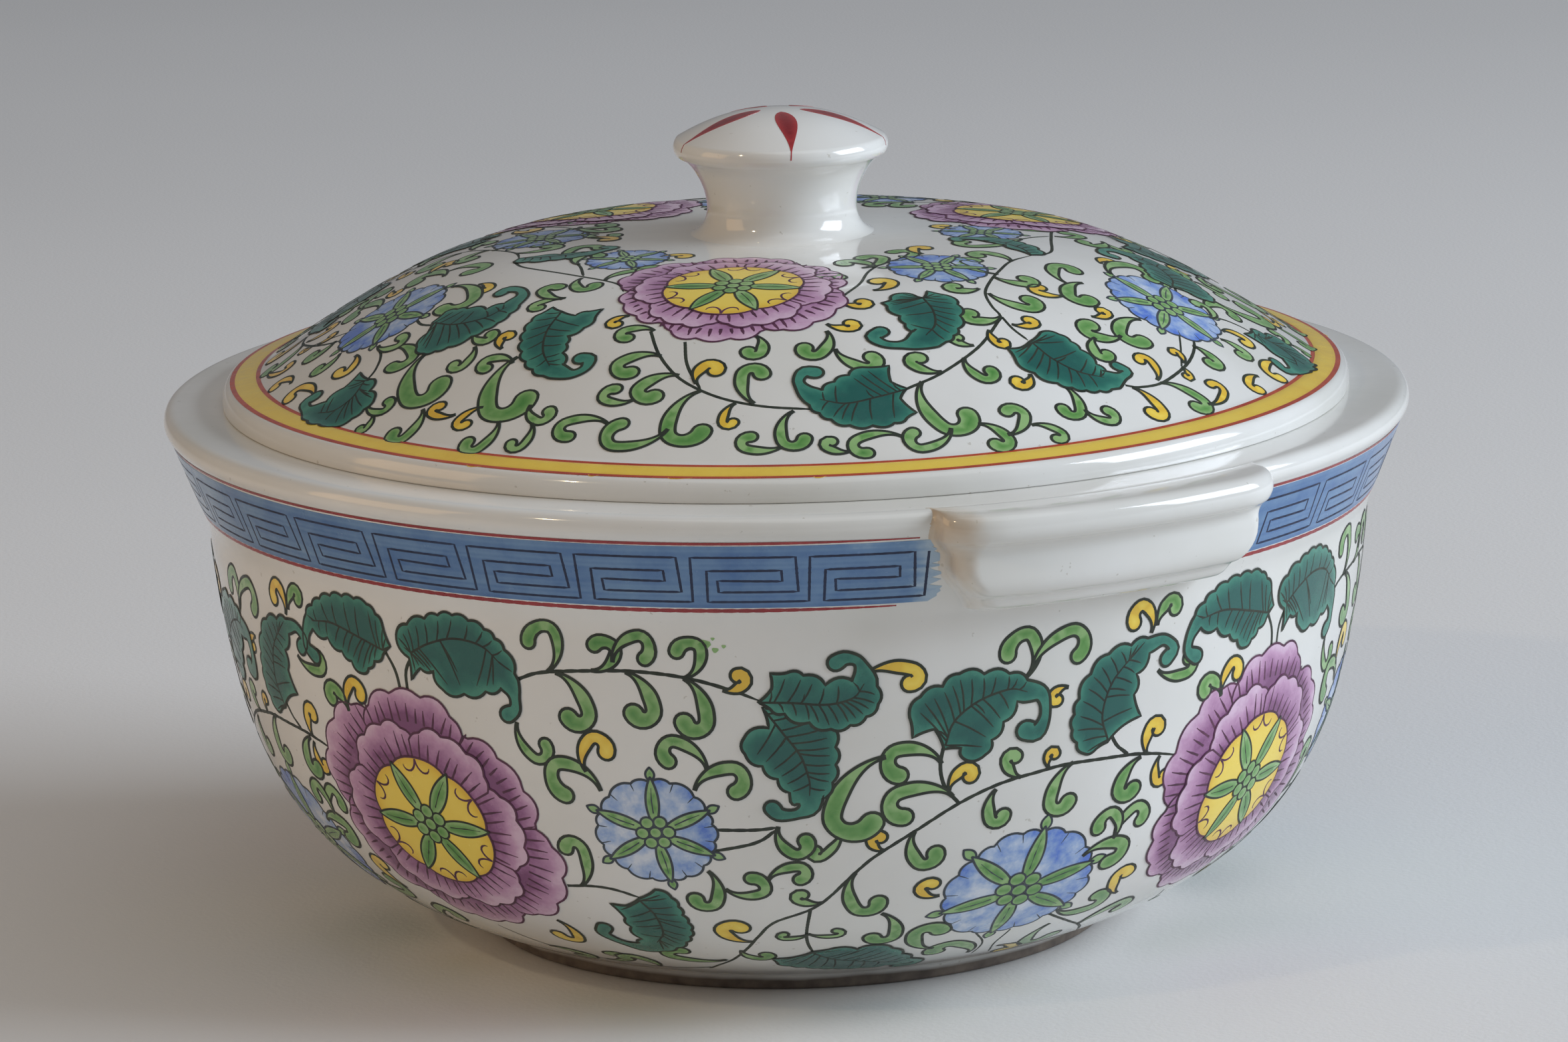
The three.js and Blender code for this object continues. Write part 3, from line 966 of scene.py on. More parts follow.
def handle_grid(columns=91):
    """Front of the handle as rows up the wall by columns along it, in (along, radius, height)."""
    wall, front, half_length, corner = grip_rows()
    fillet = 1.3
    side = np.linspace(-1, 1, columns)
    side = np.sign(side) * (1 - (1 - np.abs(side)) ** 1.9)  # more columns near the ends
    grid = np.zeros((len(wall), columns, 3))
    for row, (skin_point, front_point, half, round_off) in enumerate(zip(wall, front, half_length, corner)):
        along = side * (half + fillet)
        depth = front_point[0] - skin_point[0]
        curve = min(fillet, depth * 0.4)
        from_end = half - np.abs(along)
        t = np.clip(from_end / round_off, 0, 1)
        swell = curve + (depth - curve) * np.sqrt(1 - (1 - t) ** 2)
        foot_curve = curve * (1 - np.sqrt(1 - np.clip((fillet + from_end) / fillet, 0, 1) ** 2))
        out = np.where(from_end >= 0, swell, foot_curve)
        grid[row, :, 0] = along
        grid[row, :, 1] = skin_point[0] + out
        grid[row, :, 2] = skin_point[1]
    return grid


def handle(name, node_name, facing):
    """Lug handle: a solid from the front grid back into the wall, closed on top level with the seat."""
    grid = handle_grid()
    columns = grid.shape[1]
    top = grid[-1]
    shelf = []
    for share in (0.35, 0.75, 1.0):
        inner = top.copy()
        inner[:, 1] = top[:, 1] + share * (rim_radius - rim_rounding - 0.6 - top[:, 1])
        inner[:, 2] = seat_height + 0.03 * (1 - share) - 0.02 * share
        shelf.append(inner)
    front = np.concatenate([grid, shelf])
    tuck = 0.25  # how far the edges go under the wall's surface
    front[:, 0, 1] -= tuck
    front[:, -1, 1] -= tuck
    front[0, :, 1] -= tuck
    back = front.copy()
    root = 2.2  # how far the hidden back stands in the wall
    wall = np.vstack([grid[:, :1, 1], np.full((3, 1), rim_radius)])
    back[:, :, 1] = np.minimum(front[:, :, 1], wall - 1) - root
    back[-4:, :, 2] -= root
    sheets = np.stack([front, back])
    turn = np.radians(facing) + sheets[..., 0] / rim_radius
    points = np.stack([sheets[..., 1] * np.cos(turn), sheets[..., 1] * np.sin(turn), sheets[..., 2]], -1)
    points = points.reshape(-1, 3)
    total_rows = len(front)
    index = np.arange(2 * total_rows * columns).reshape(2, total_rows, columns)
    faces = []
    for sheet, flip in ((index[0], 1), (index[1], -1)):
        quads = np.stack([sheet[:-1, :-1], sheet[:-1, 1:], sheet[1:, 1:], sheet[1:, :-1]], 2).reshape(-1, 4)
        faces += quads[:, ::flip].tolist()
    border = np.concatenate([index[0][0, :-1], index[0][:-1, -1], index[0][-1, :0:-1], index[0][:0:-1, 0]])
    after = np.roll(border, -1)
    offset = total_rows * columns
    faces += np.stack([border, border + offset, after + offset, after], 1).tolist()
    lug = place_piece(smooth_mesh(name, points, faces, 70), name, handle_finish, "bowl")
    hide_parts(node_name)


# ---------------------------------------------------------------- lid

flange_bottom = seat_height + 0.03
flange_top = flange_bottom + 4.37
flange_edge = 0.35
flange_rounding = 2.2
dome_base = (lid_radius - 7.1, flange_bottom + 5.32)
lid_thickness = 4.4
locating_radius = lid_radius - 6.4
DOME_START = 10.1  # climb where the dome begins, counted from the flange's lower edge


def flange_outline():
    """Flat underside of the flange, out to its lower edge."""
    side = (lid_radius, flange_bottom + flange_edge)
    return join((locating_radius + 0.4, flange_bottom), trace(
        (locating_radius + 1, flange_bottom),
        ((lid_radius - flange_edge, flange_bottom), 2),
        ((lid_radius, flange_bottom), side, 6),
    ))


def lid_top_outline():
    """From the flange's side over its rounded edge and up the dome to the middle."""
    return join(trace(
        (lid_radius, flange_bottom + flange_edge),
        ((lid_radius, flange_top), (lid_radius - flange_rounding, flange_top), 8),
        ((dome_base[0] + 1.4, dome_base[1] - 0.1), 1),
    ), sweep_points(dome_base, (lid_radius - 45.1, lid_top), (lid_radius - 48.6, lid_top), (0, lid_top), 90))


def lid_under_outline():
    """Underside from the middle out to the locating rim that drops inside the mouth."""
    inner = locating_radius - lid_thickness
    rim_bottom = lid_low.z
    ceiling = lid_top - lid_thickness
    return trace(
        (0, ceiling),
        ((54, ceiling), (60, ceiling), (inner - 1, dome_base[1] - 3.5), 50),
        ((inner, flange_bottom), (inner + 0.5, rim_bottom + 1.4), 6),
        ((inner + 0.6, rim_bottom), (inner + 2.2, rim_bottom), 6),
        ((locating_radius - 1.6, rim_bottom), 10),
        ((locating_radius, rim_bottom), (locating_radius, rim_bottom + 1.6), 6),
        ((locating_radius, flange_bottom - 0.6), 10),
    )


lid_surface = lid_top_outline()
dome_index = int(np.argmin(np.linalg.norm(lid_surface - np.array(dome_base), axis=1)))
lid_run = np.concatenate([[0], np.cumsum(np.linalg.norm(np.diff(lid_surface, axis=0), axis=1))])
lid_skin = Skin(lid_surface, DOME_START - lid_run[dome_index])

knob_radius = knob_high.x
knob_bottom = knob_low.z
knob_top = knob_high.z
neck_radius = 14.3


def cap_outline():
    """Crown of the knob, from its widest point to the middle."""
    edge = knob_bottom + 16.9
    return trace(
        (knob_radius - 0.75, edge - 1.9),
        ((knob_radius + 0.35, edge - 0.3), (knob_radius - 0.8, edge + 1.3), 8),
        ((knob_radius - 6.1, knob_top - 2.4), (9, knob_top), (0, knob_top), 40),
    )


def dome_height(radius):
    """Height of the dome's outside at a radius."""
    return float(np.interp(radius, lid_surface[::-1, 0], lid_surface[::-1, 1]))


def knob_outline():
    """Soft fillet out of the dome, waisted neck and flared underside."""
    under = knob_bottom + 13.8
    fillet = neck_radius + 5.4
    neck = trace(
        (fillet, dome_height(fillet) - 0.4),
        ((neck_radius + 0.5, lid_top - 0.1), (neck_radius + 0.1, knob_bottom + 4.4), 14),
        ((neck_radius, knob_bottom + 8), (neck_radius + 2.1, knob_bottom + 11.4), 10),
        ((knob_radius - 3.2, under), (knob_radius - 0.75, under + 1.2), 8),
    )
    return join((0, lid_top - 1.5), (fillet, lid_top - 1.5), neck, cap_outline())


def lid():
    """The glazed lid and its knob."""
    outline = join(lid_under_outline(), flange_outline(), lid_surface)
    shell = turned_piece("lid_glazed_shell", outline, lid_finish, "lid")
    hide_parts("lid_shell")
    grip = turned_piece("lid_glazed_knob", knob_outline(), lid_finish, "lid", 128)
    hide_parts("lid_knob")


def knob_strokes():
    """Five red drops that run from near the middle of the knob to its edge."""
    cap = Skin(cap_outline())
    middle = cap.climb[-1] - 13.0
    painting = Painting(cap, 5)
    for k in range(5):
        t = np.linspace(0, 1, 26)
        line = np.stack([1.1 * np.sin(2.2 * t), 9.0 - 18.6 * t], 1)
        half = 2.0 * np.sqrt(np.clip(1 - ((t - 0.3) / 0.3) ** 2, 0, 1)) ** 1.2 * (t < 0.3)
        half += 2.0 * (1 - ease(t, 0.3, 1.02)) * (t >= 0.3)
        half = np.maximum(half, 0.12)
        drop = band_outline(line, half, half)
        painting.fill("red", (3.0 + 72 * k, middle), drop, 0, ink=None, grain=1.0)
    shells = {"red": Shell()}
    painting.lay(shells, [(0.0, 1.0)], (0.0, 360.0))
    shells["red"].make("knob_red_strokes", finishes["red"], "lid", "lid_glaze")


# ---------------------------------------------------------------- painted borders

handle_gap = (-16.0, 17.4)  # where the bowl's border stops and starts again, from a handle's middle
key_count = 14  # fret units between the handles
band_low, band_high = 103.4, 116.6  # climbs of the blue band's edges
fret_low, fret_high = 104.7, 114.2
yellow_low, yellow_high = 5.4, 9.6  # climbs of the lid's yellow band's edges
# one fret unit as shares of its width and height
FRET = [(0, 1), (0.88, 1), (0.90, 0.22), (0.22, 0.22), (0.215, 0.48), (0.765, 0.46), (0.76, 0.70),
        (0.13, 0.70), (0.12, 0), (0.99, 0), (1, 1)]


def ring_places(start, end, climb):
    """Places along a hand-drawn line round the piece, with a slight waver."""
    azimuths = np.linspace(start, end, max(2, int(abs(end - start) / 0.7)))
    return np.stack([azimuths, climb + 0.09 * np.sin(np.radians(azimuths * 5))], 1)


def ring_line(shell, skin, start, end, climb, width, level):
    """A line round the piece, whole if it spans a full turn."""
    places = ring_places(start, end, climb)
    closed = abs(end - start) >= 360
    chart = np.stack([(places[:, 0] - start) / 400, np.full(len(places), 0.5)], 1)
    add_line(shell, skin, places, width, level, closed, 0 if closed else 12, chart)


def bowl_border():
    """Blue wash with a key fret between two red lines, broken by the handles."""
    wash, fret, red = Shell(), Shell(), Shell()
    chance = np.random.default_rng(11)
    for side in (0, 180):
        start = handle_front + handle_gap[1] + side
        end = handle_front + handle_gap[0] + side + 180
        rows, columns = 27, 150
        climbs = np.linspace(band_low, band_high, rows)[:, None] * np.ones(columns)
        fringe = chance.uniform(0, 1.5, rows)[:, None]
        share = np.linspace(0, 1, columns)
        azimuths = start + 0.25 * fringe * (1 - share) + (end - start + 0.6 - fringe * share) * share
        tones = 0.7 - 0.7 * ease(share, 0.975, 1.0)[None] + chance.uniform(-0.16, 0.16, rows)[:, None]
        add_band(wash, bowl_skin, azimuths, climbs, np.broadcast_to(tones, azimuths.shape))
        period = (end - start - 1.6) / key_count
        path = [((k + u) * period + start + 0.7, fret_low + v * (fret_high - fret_low))
                for k in range(key_count) for u, v in FRET]
        path = fine_path(np.array(path))
        chart = np.stack([(path[:, 0] - start) / 180, (path[:, 1] - 90) / 40], 1)
        add_line(fret, bowl_skin, path, 0.6, 0, False, 0, chart)
        ring_line(red, bowl_skin, start, end - 1.8, band_high + 0.4, 0.95, -1)
        ring_line(red, bowl_skin, start + 0.3, end - 3.5, band_low - 0.6, 0.95, -1)
    wash.make("bowl_border_blue", finishes["wash"], "bowl", "bowl_glaze")
    fret.make("bowl_border_fret", finishes["key_ink"], "bowl", "bowl_glaze")
    red.make("bowl_border_red", finishes["red"], "bowl", "bowl_glaze")


def fine_path(path):
    """The same path of places with extra points, so that it follows the curve of the bowl."""
    turn_step, climb_step = 0.45, 2
    parts = []
    for a, b in zip(path, path[1:]):
        if np.allclose(a, b):
            continue
        count = max(1, int(np.hypot((b[0] - a[0]) / turn_step, (b[1] - a[1]) / climb_step)))
        parts.append(a + (b - a) * (np.arange(count) / count)[:, None])
    return np.vstack(parts + [path[-1:]])


def lid_border():
    """Yellow band between two fine red lines on the lid's flange."""
    yellow, red = Shell(), Shell()
    rows, columns = 6, 361
    climbs = np.linspace(yellow_low, yellow_high, rows)[:, None] * np.ones(columns)
    azimuths = np.linspace(0, 360, columns)[None] * np.ones((rows, 1))
    at_edge = np.abs(climbs - (yellow_low + yellow_high) / 2) > 1.9
    tones = 0.4 + 0.2 * np.sin(np.radians(azimuths * 3)) - 0.25 * at_edge
    add_band(yellow, lid_skin, azimuths, climbs, tones, ring=True)
    ring_line(red, lid_skin, 0, 360, yellow_low - 0.2, 1.4, 0)
    ring_line(red, lid_skin, 0, 360, yellow_high + 0.2, 1.5, 0)
    yellow.make("lid_border_yellow", finishes["yellow"], "lid", "lid_glaze")
    red.make("lid_border_red", finishes["orange_red"], "lid", "lid_glaze")


# ---------------------------------------------------------------- painted flowers

def bowl_flowers(art):
    """One composition of the bowl: from one peony to just before the next, 94 degrees on."""
    art.peony((-40, 55), 14, 21.5, 28.5)
    art.blue_flower((-13.9, 58.5), 11.4, (-145, -82, -25, 25, 90, 160), 0.8)
    art.blue_flower((24.7, 40.5), 15.2, (-160, -92, -35, 15, 82, 140))

    art.vine((-40.4, 82), (-40.8, 86), (-42.2, 90.6))
    art.vine((-39.5, 82.3), (-39.3, 86.5), (-37.6, 91))
    art.vine((-26.8, 87.2), (-24, 89.2), (-19, 90.2), (-14.5, 90.5), (-10, 89.6), (-6, 87.5), (-3, 85.2))
    art.vine((-13, 10), (-11, 14), (-8.5, 18.8), (-6, 26), (-4.5, 31), (-2.5, 36), (2, 40.5), (5.5, 48),
             (8, 52.8), (12, 58), (16, 62.8), (20, 66), (24, 67.5), (28, 68.3), (34, 68), (38, 67),
             (42, 65.2))
    art.vine((1.4, 40), (1, 33), (1.1, 28), (1.8, 23))
    art.vine((-25, 44.2), (-22, 44.7), (-19.5, 44.2), (-17, 42.5))
    art.vine((31, 30), (36, 24), (41, 18), (46, 10))
    art.vine((-8.3, 59.4), (-4, 59.4), (-1.8, 59.9))
    art.vine((-8.5, 54.6), (-4, 56.6), (-1.9, 59.4))
    art.vine((16.2, 62.8), (14.6, 66.5), (14, 71), (14.4, 76))
    art.vine((34.3, 68.2), (32.8, 70.5), (31.6, 74))
    art.vine((22, 26.5), (24.6, 20), (25.8, 11), width=0.55)
    art.vine((27, 25.5), (27, 18), (29, 10), width=0.55)
    art.vine((-12.5, 11.5), (-19, 8.5), (-27, 10), (-35, 15.5), (-40.5, 25))

    art.leaf([(-42, 89.5), (-45, 91), (-49, 92.6), (-52.3, 92)],
             [(-41, 90.5), (-41.7, 94.3), (-43.6, 97.8), (-47, 98.3), (-50.6, 96.7), (-53.2, 93)],
             [(-53.7, 89), (-53.8, 86.4), (-52.6, 84.9)],
             [(-52.4, 90.4), (-50, 89.5), (-48, 87.5), (-46.7, 86), (-45.5, 84), (-43.4, 87), (-41, 90.5)])
    art.leaf([(-38.4, 90), (-36, 92.4), (-33, 94), (-30, 93.2), (-28, 90)],
             [(-38.7, 84.6), (-38.7, 89), (-40, 93), (-38.5, 95.4), (-36.3, 97), (-33, 98.4), (-29.6, 96.4),
              (-27.6, 93), (-26.7, 88.6)],
             [(-27, 84.6), (-27, 81.8), (-27.9, 80.4)],
             [(-28.3, 85.4), (-30, 84.5), (-32.5, 83.5), (-35, 83.8), (-35.8, 87.2), (-37.4, 87.3),
              (-38.7, 84.6)])
    art.leaf([(-2.6, 83.4), (-1, 79), (0.6, 74.5), (1.4, 69.5), (1.4, 66.5)],
             [(-2.8, 84), (-2.3, 80), (-4.6, 78.2), (-4.6, 75), (-3, 72.6), (-1.6, 70), (-0.5, 67.2)],
             [(1.2, 64), (0, 62.7), (-1.5, 62.7), (-2.2, 64)],
             [(2.7, 65.8), (3.6, 69), (3.9, 72.5), (3.9, 76), (3.6, 80), (0.5, 82.8), (-2.8, 84)])
    art.leaf([(-3, 85), (0, 84.8), (3.2, 84.3), (5.6, 85.4), (6.6, 88)],
             [(-3.2, 85), (-1.9, 87.6), (-2, 90.5), (1, 90), (3, 88), (5.5, 88.7)],
             [(6.5, 90.4), (6, 92.4), (4.9, 93), (4, 92.2)],
             [(7.8, 87.4), (7.9, 84), (6.8, 81.7), (5.3, 80.2), (3.5, 79.6), (1.5, 81), (-0.8, 82.8),
              (-3.2, 85)], level=3)
    art.leaf([(-17, 41.8), (-15.8, 37.5), (-15.7, 31.5), (-17.2, 27)],
             [(-17, 42.4), (-15, 45), (-13.4, 43), (-12.7, 38), (-12.2, 33), (-13.4, 28), (-15, 25),
              (-17, 22.8)],
             [(-19.6, 24.2), (-22, 26), (-23.5, 29.3), (-22.8, 32)],
             [(-18.8, 28.3), (-19.3, 33), (-19.5, 36), (-20.6, 40.3), (-18.8, 40), (-17, 42.4)])
    art.leaf([(1.8, 23), (4.5, 18.5), (9, 15.5), (14, 12.5)],
             [(1.8, 23.5), (4.5, 25), (7.3, 23.6), (9.3, 25.3), (11.8, 23), (13.6, 19), (15.4, 15)],
             [(17.2, 11.8), (16.8, 8.4), (15, 8.2)],
             [(12.8, 10), (9, 9), (5, 10), (1, 12.4), (-2.8, 16), (-3.4, 19.5), (-0.4, 20.6), (1.8, 23.5)])
    art.leaf([(14.4, 75), (15.2, 79.5), (17.5, 83), (20.6, 84.7), (22.4, 83.8)],
             [(14.3, 74.3), (13.3, 78.4), (11.2, 77), (10.9, 81), (11.9, 84.8), (14, 86.4), (15.6, 88.6),
              (18, 88.1), (20.5, 87.7), (22.4, 86)],
             [(23.9, 83), (24.4, 79), (23.7, 75.8), (22.5, 76.3)],
             [(21.4, 82.2), (20.1, 78.5), (19, 75.2), (18.5, 72.5), (16.3, 72), (16, 74.2), (14.3, 74.3)],
             bulb=1.9)
    art.leaf([(31.6, 72), (30.7, 77), (31.5, 83), (33.6, 87.6)],
             [(31.6, 71.5), (29, 70), (27.5, 75), (28, 81), (29.1, 85.5), (31, 88.8), (33.5, 89.7),
              (35.4, 90.5)],
             [(37.4, 89.6), (38.7, 87.6), (37.9, 85.8)],
             [(35.7, 87.6), (34.3, 84), (34.2, 80), (35.3, 75.5), (33, 74), (31.6, 71.5)])

    for root, bulb, bend, width in (
        ((-23.2, 89.6), (-25, 95), -1.8, 1.3), ((-18.8, 90.3), (-18.4, 95.2), -1.7, 1.3),
        ((-16.7, 92.2), (-13.6, 93), 1.5, 1.25), ((-10, 89.5), (-10.6, 94.6), -1.7, 1.3),
        ((-22.4, 89.4), (-21.5, 80.9), 1, 1.7), ((-15.5, 90.3), (-15, 82.4), 1, 1.75),
        ((-10, 89.4), (-10.2, 81), 1, 1.7), ((-27, 79), (-24.2, 75.2), -1.2, 1.2),
        ((-19, 66.8), (-22.8, 65.3), -1.8, 1.6), ((-8.3, 71.7), (-12, 73.3), -1.2, 1.4),
        ((-9.6, 67.7), (-5.6, 67.4), 1.3, 1.5), ((-23.3, 44.6), (-23.9, 53.6), -0.8, 1.4),
        ((-9, 50), (-10.8, 42.9), 1, 1.5), ((-7.4, 45.6), (-4.6, 48.4), -1.5, 1.35),
        ((-2.9, 48), (0.4, 48), 1.1, 1.3), ((2.6, 41.7), (0.5, 44), 0.8, 1.2),
        ((-1.7, 60), (1, 57), -1.3, 1.4), ((4.5, 58.8), (1.9, 54.6), 0.6, 1.1),
        ((8.6, 73.5), (7.5, 60.2), -1.15, 2.1), ((14.1, 71.5), (10, 69.6), -1.3, 1.6),
        ((15.4, 64.6), (10.6, 61), -1.1, 1.7), ((6, 49), (8.7, 41.2), -1, 1.6),
        ((9.3, 37.5), (8.7, 29), 1, 1.6), ((-7, 24.3), (-4, 22), -1.2, 1.3),
        ((-9.5, 18.5), (-14.8, 23.3), 1.1, 1.6), ((22.3, 86.7), (20.3, 91.3), -1.9, 1.5),
        ((22.8, 87.8), (27.6, 89.4), 1.15, 1.4), ((22.3, 67), (21.6, 71.3), 0.9, 1.3),
        ((19.8, 65), (20.9, 59.4), -0.9, 1.4), ((27.9, 68.4), (28, 60.4), -1, 1.6),
        ((36, 67), (35.7, 60.5), -1.1, 1.7), ((11.8, 57.6), (14.2, 52.5), -1.1, 1.6),
        ((34.8, 50), (32.4, 53), -1.6, 1.4), ((35, 50), (37.9, 53), 1.4, 1.4),
        ((31.5, 47), (35.3, 44), 1.3, 1.8), ((32, 31), (37, 33.5), -1.2, 1.7),
        ((17.5, 20.5), (17, 29.6), 1.1, 1.9), ((24.5, 13), (18.3, 17.5), -1.1, 1.9),
        ((-48.5, 75.6), (-51, 77.4), -1, 1.6), ((36.5, 92.7), (38.6, 95.3), 0.9, 1.4),
        ((1.2, 31.6), (-1.6, 31.6), 0.8, 0.8), ((1.2, 31.6), (4.4, 32.4), -0.8, 0.8),
        ((-21, 9), (-24.5, 14.5), -1.1, 1.5), ((-29, 11), (-26, 17), -1, 1.5),
        ((-36, 16.5), (-33, 11), 1, 1.4), ((33, 24.5), (37.5, 15.5), -1, 1.7),
        ((40, 19.5), (45, 23.5), 1.1, 1.6), ((37, 83.8), (40.8, 85), -0.8, 1.3),
    ):
        art.scroll(root, bulb, bend, width)
    for root, bulb, bend, width in (
        ((-20.3, 70.5), (-18, 74.6), 1.3, 1.5), ((-6.4, 87.3), (-5, 90.1), -1, 1.3),
        ((7, 90), (10.9, 87.5), 0.7, 1.5), ((8.8, 54), (8.4, 57), 1.2, 1.2),
        ((-5.5, 28.7), (-6.5, 34.2), 1.3, 1.8), ((15, 65.9), (17.1, 68.4), 0.9, 1.4),
        ((25.2, 68.3), (25.8, 70.8), 0.9, 1), ((26.7, 83.6), (25.6, 81.3), -1, 1.1),
        ((35.8, 91.5), (33.7, 93.9), -1.6, 1.4), ((36.7, 67.5), (37.8, 72.3), 0.8, 1.5),
        ((15.3, 41.6), (14.4, 45), 1.5, 1.3), ((40.3, 32.5), (39.5, 39.3), 0.8, 1.6),
        ((-48.4, 75.8), (-46.2, 79.3), 1.2, 1.4), ((-56.4, 66.3), (-55.3, 62), -0.9, 1.2),
        ((-28.8, 32.5), (-30.6, 26.2), 1.2, 1.4), ((28.5, 15), (31.5, 9), 0.8, 1.6),
    ):
        art.bud(root, bulb, bend, width)
    for place, size in (((-8.1, 95.9), 1.3), ((-7, 94.9), 0.6), ((-6.2, 95.6), 0.4), ((-7.2, 97), 0.35)):
        art.blot("green", place, size, 0.8 * size)


def lid_flowers(art):
    """One composition of the lid: from one low blue flower to just before the next."""
    # painted light: the lid's peony gets paler petals (strength 0.55) to stand in for the light falling on
    # the lid from above
    art.peony((-10.5, 66), 13.2, 18.6, 23, 0.55)
    art.blue_flower((66.5, 37.5), 11.8, (-160, -95, -35, 20, 85, 145))
    art.blue_flower((38, 70.5), 9.5, (-150, -90, -30, 30, 90, 150))
    art.blue_flower((-50, 79), 8, (-150, -90, -30, 30, 90, 150))

    art.vine((-20.5, 46.5), (-17.5, 39.5), (-14, 33.5), (-10.3, 29.6), (-6.5, 27), (-2, 25.3), (3.5, 24.3))
    art.vine((-14.5, 43.5), (-13, 36.5), (-10.5, 30))
    art.vine((14.7, 28.5), (20, 32), (27, 38), (33, 44.5), (34.6, 46.5), (35, 50), (37, 55), (42, 59.5),
             (48, 62.8), (56, 65.5), (64, 65))
    art.vine((34.6, 46), (34.4, 42), (35, 38))
    art.vine((42.8, 22), (44.5, 20.8), (48.5, 20.6), (55, 23), (60, 26), (63, 29))
    art.vine((54, 23), (58, 27.5), (61, 30.5), width=0.55)
    art.vine((-65, 39.5), (-62, 38.7), (-59, 39.5))
    art.vine((-65, 30.5), (-61.5, 28.5), (-59.3, 25), (-58.7, 22))
    art.vine((-72, 63.5), (-65, 63.5), (-50, 65.5), (-40, 65.3), (-35, 64), (-32, 61))
    art.vine((11, 60), (16, 66), (21, 73), (30, 79))
    art.vine((-62, 72), (-54, 70), (-47, 66))

    art.leaf([(-59.5, 40), (-55, 41), (-51, 44.5), (-49.7, 49)],
             [(-60, 40), (-60.6, 43.5), (-57, 46), (-53, 47), (-51.3, 50)],
             [(-50.4, 53.6), (-53, 55.3), (-55.8, 54.6), (-55.8, 53)],
             [(-47.9, 50.5), (-47.3, 44), (-49, 39), (-51, 35), (-54, 32), (-56.5, 33), (-58, 37), (-60, 40)])
    art.leaf([(-38.2, 50), (-37, 43.5), (-34.8, 38), (-32, 34)],
             [(-38.5, 50.5), (-35, 49.6), (-31.5, 53), (-31.5, 46), (-33, 43), (-31.6, 38), (-30.2, 34.6)],
             [(-28.3, 32.4), (-26.8, 34.2), (-27, 36.8), (-28.3, 36.9)],
             [(-32, 31.3), (-36, 34.5), (-39.5, 40), (-41.5, 46), (-41, 51.5), (-38.5, 50.5)])
    art.leaf([(-58.8, 22), (-57.6, 17.5), (-58.2, 13.5), (-60.4, 11.8)],
             [(-59, 22.6), (-61.5, 23.5), (-61, 19), (-61.3, 14.8)],
             [(-63, 11.6), (-64.9, 12.8), (-64.5, 15)],
             [(-60, 8.9), (-55.5, 10), (-54, 13), (-53.7, 18.5), (-56, 20), (-57.5, 23), (-59, 22.6)])
    art.leaf([(14.4, 28.2), (11, 26.8), (7, 25.5), (4, 26.8)],
             [(14.7, 28.5), (13, 30.6), (13.5, 35), (10, 35), (8, 33), (4.4, 29.2)],
             [(2.3, 29.4), (1.6, 32), (2.4, 34.4), (3.8, 34.2)],
             [(2.7, 25.4), (5, 21.5), (7, 19.8), (12, 19.8), (14.8, 22), (13.5, 26), (14.7, 28.5)])
    art.leaf([(24.8, 56), (24.5, 51), (23, 46), (20.6, 43)],
             [(25, 56), (27, 58.8), (29.5, 56), (29.5, 52), (28, 48), (26, 44), (23, 40.5)],
             [(17.6, 40.8), (14.4, 41.2), (12.8, 43.6), (14.3, 45.3)],
             [(19, 44.4), (18.6, 50), (17.5, 54), (17, 55.6), (19, 56.5), (21.5, 59), (24, 57), (25, 56)])
    art.leaf([(35.2, 37), (36, 32), (38, 27.5), (40.8, 24.8)],
             [(35, 37.4), (38, 39.5), (40.5, 38), (41.3, 33), (41.5, 28.5), (41.9, 26.3)],
             [(43.4, 24.2), (44.9, 25.2), (44.2, 27)],
             [(40.4, 21.6), (37, 22.5), (34, 25.5), (32, 29), (30.8, 33), (31, 36.4), (33, 36.2), (35, 37.4)],
             bulb=1.2)
    art.leaf([(64, 65), (68, 68.5), (72, 74)],
             [(64, 65), (66, 69), (69.5, 72), (72, 77)],
             [(73, 80), (71, 82.5), (68.6, 81.5)],
             [(76, 74), (73, 69), (69.5, 65.5), (66, 63.5), (64, 65)], bulb=1.2)

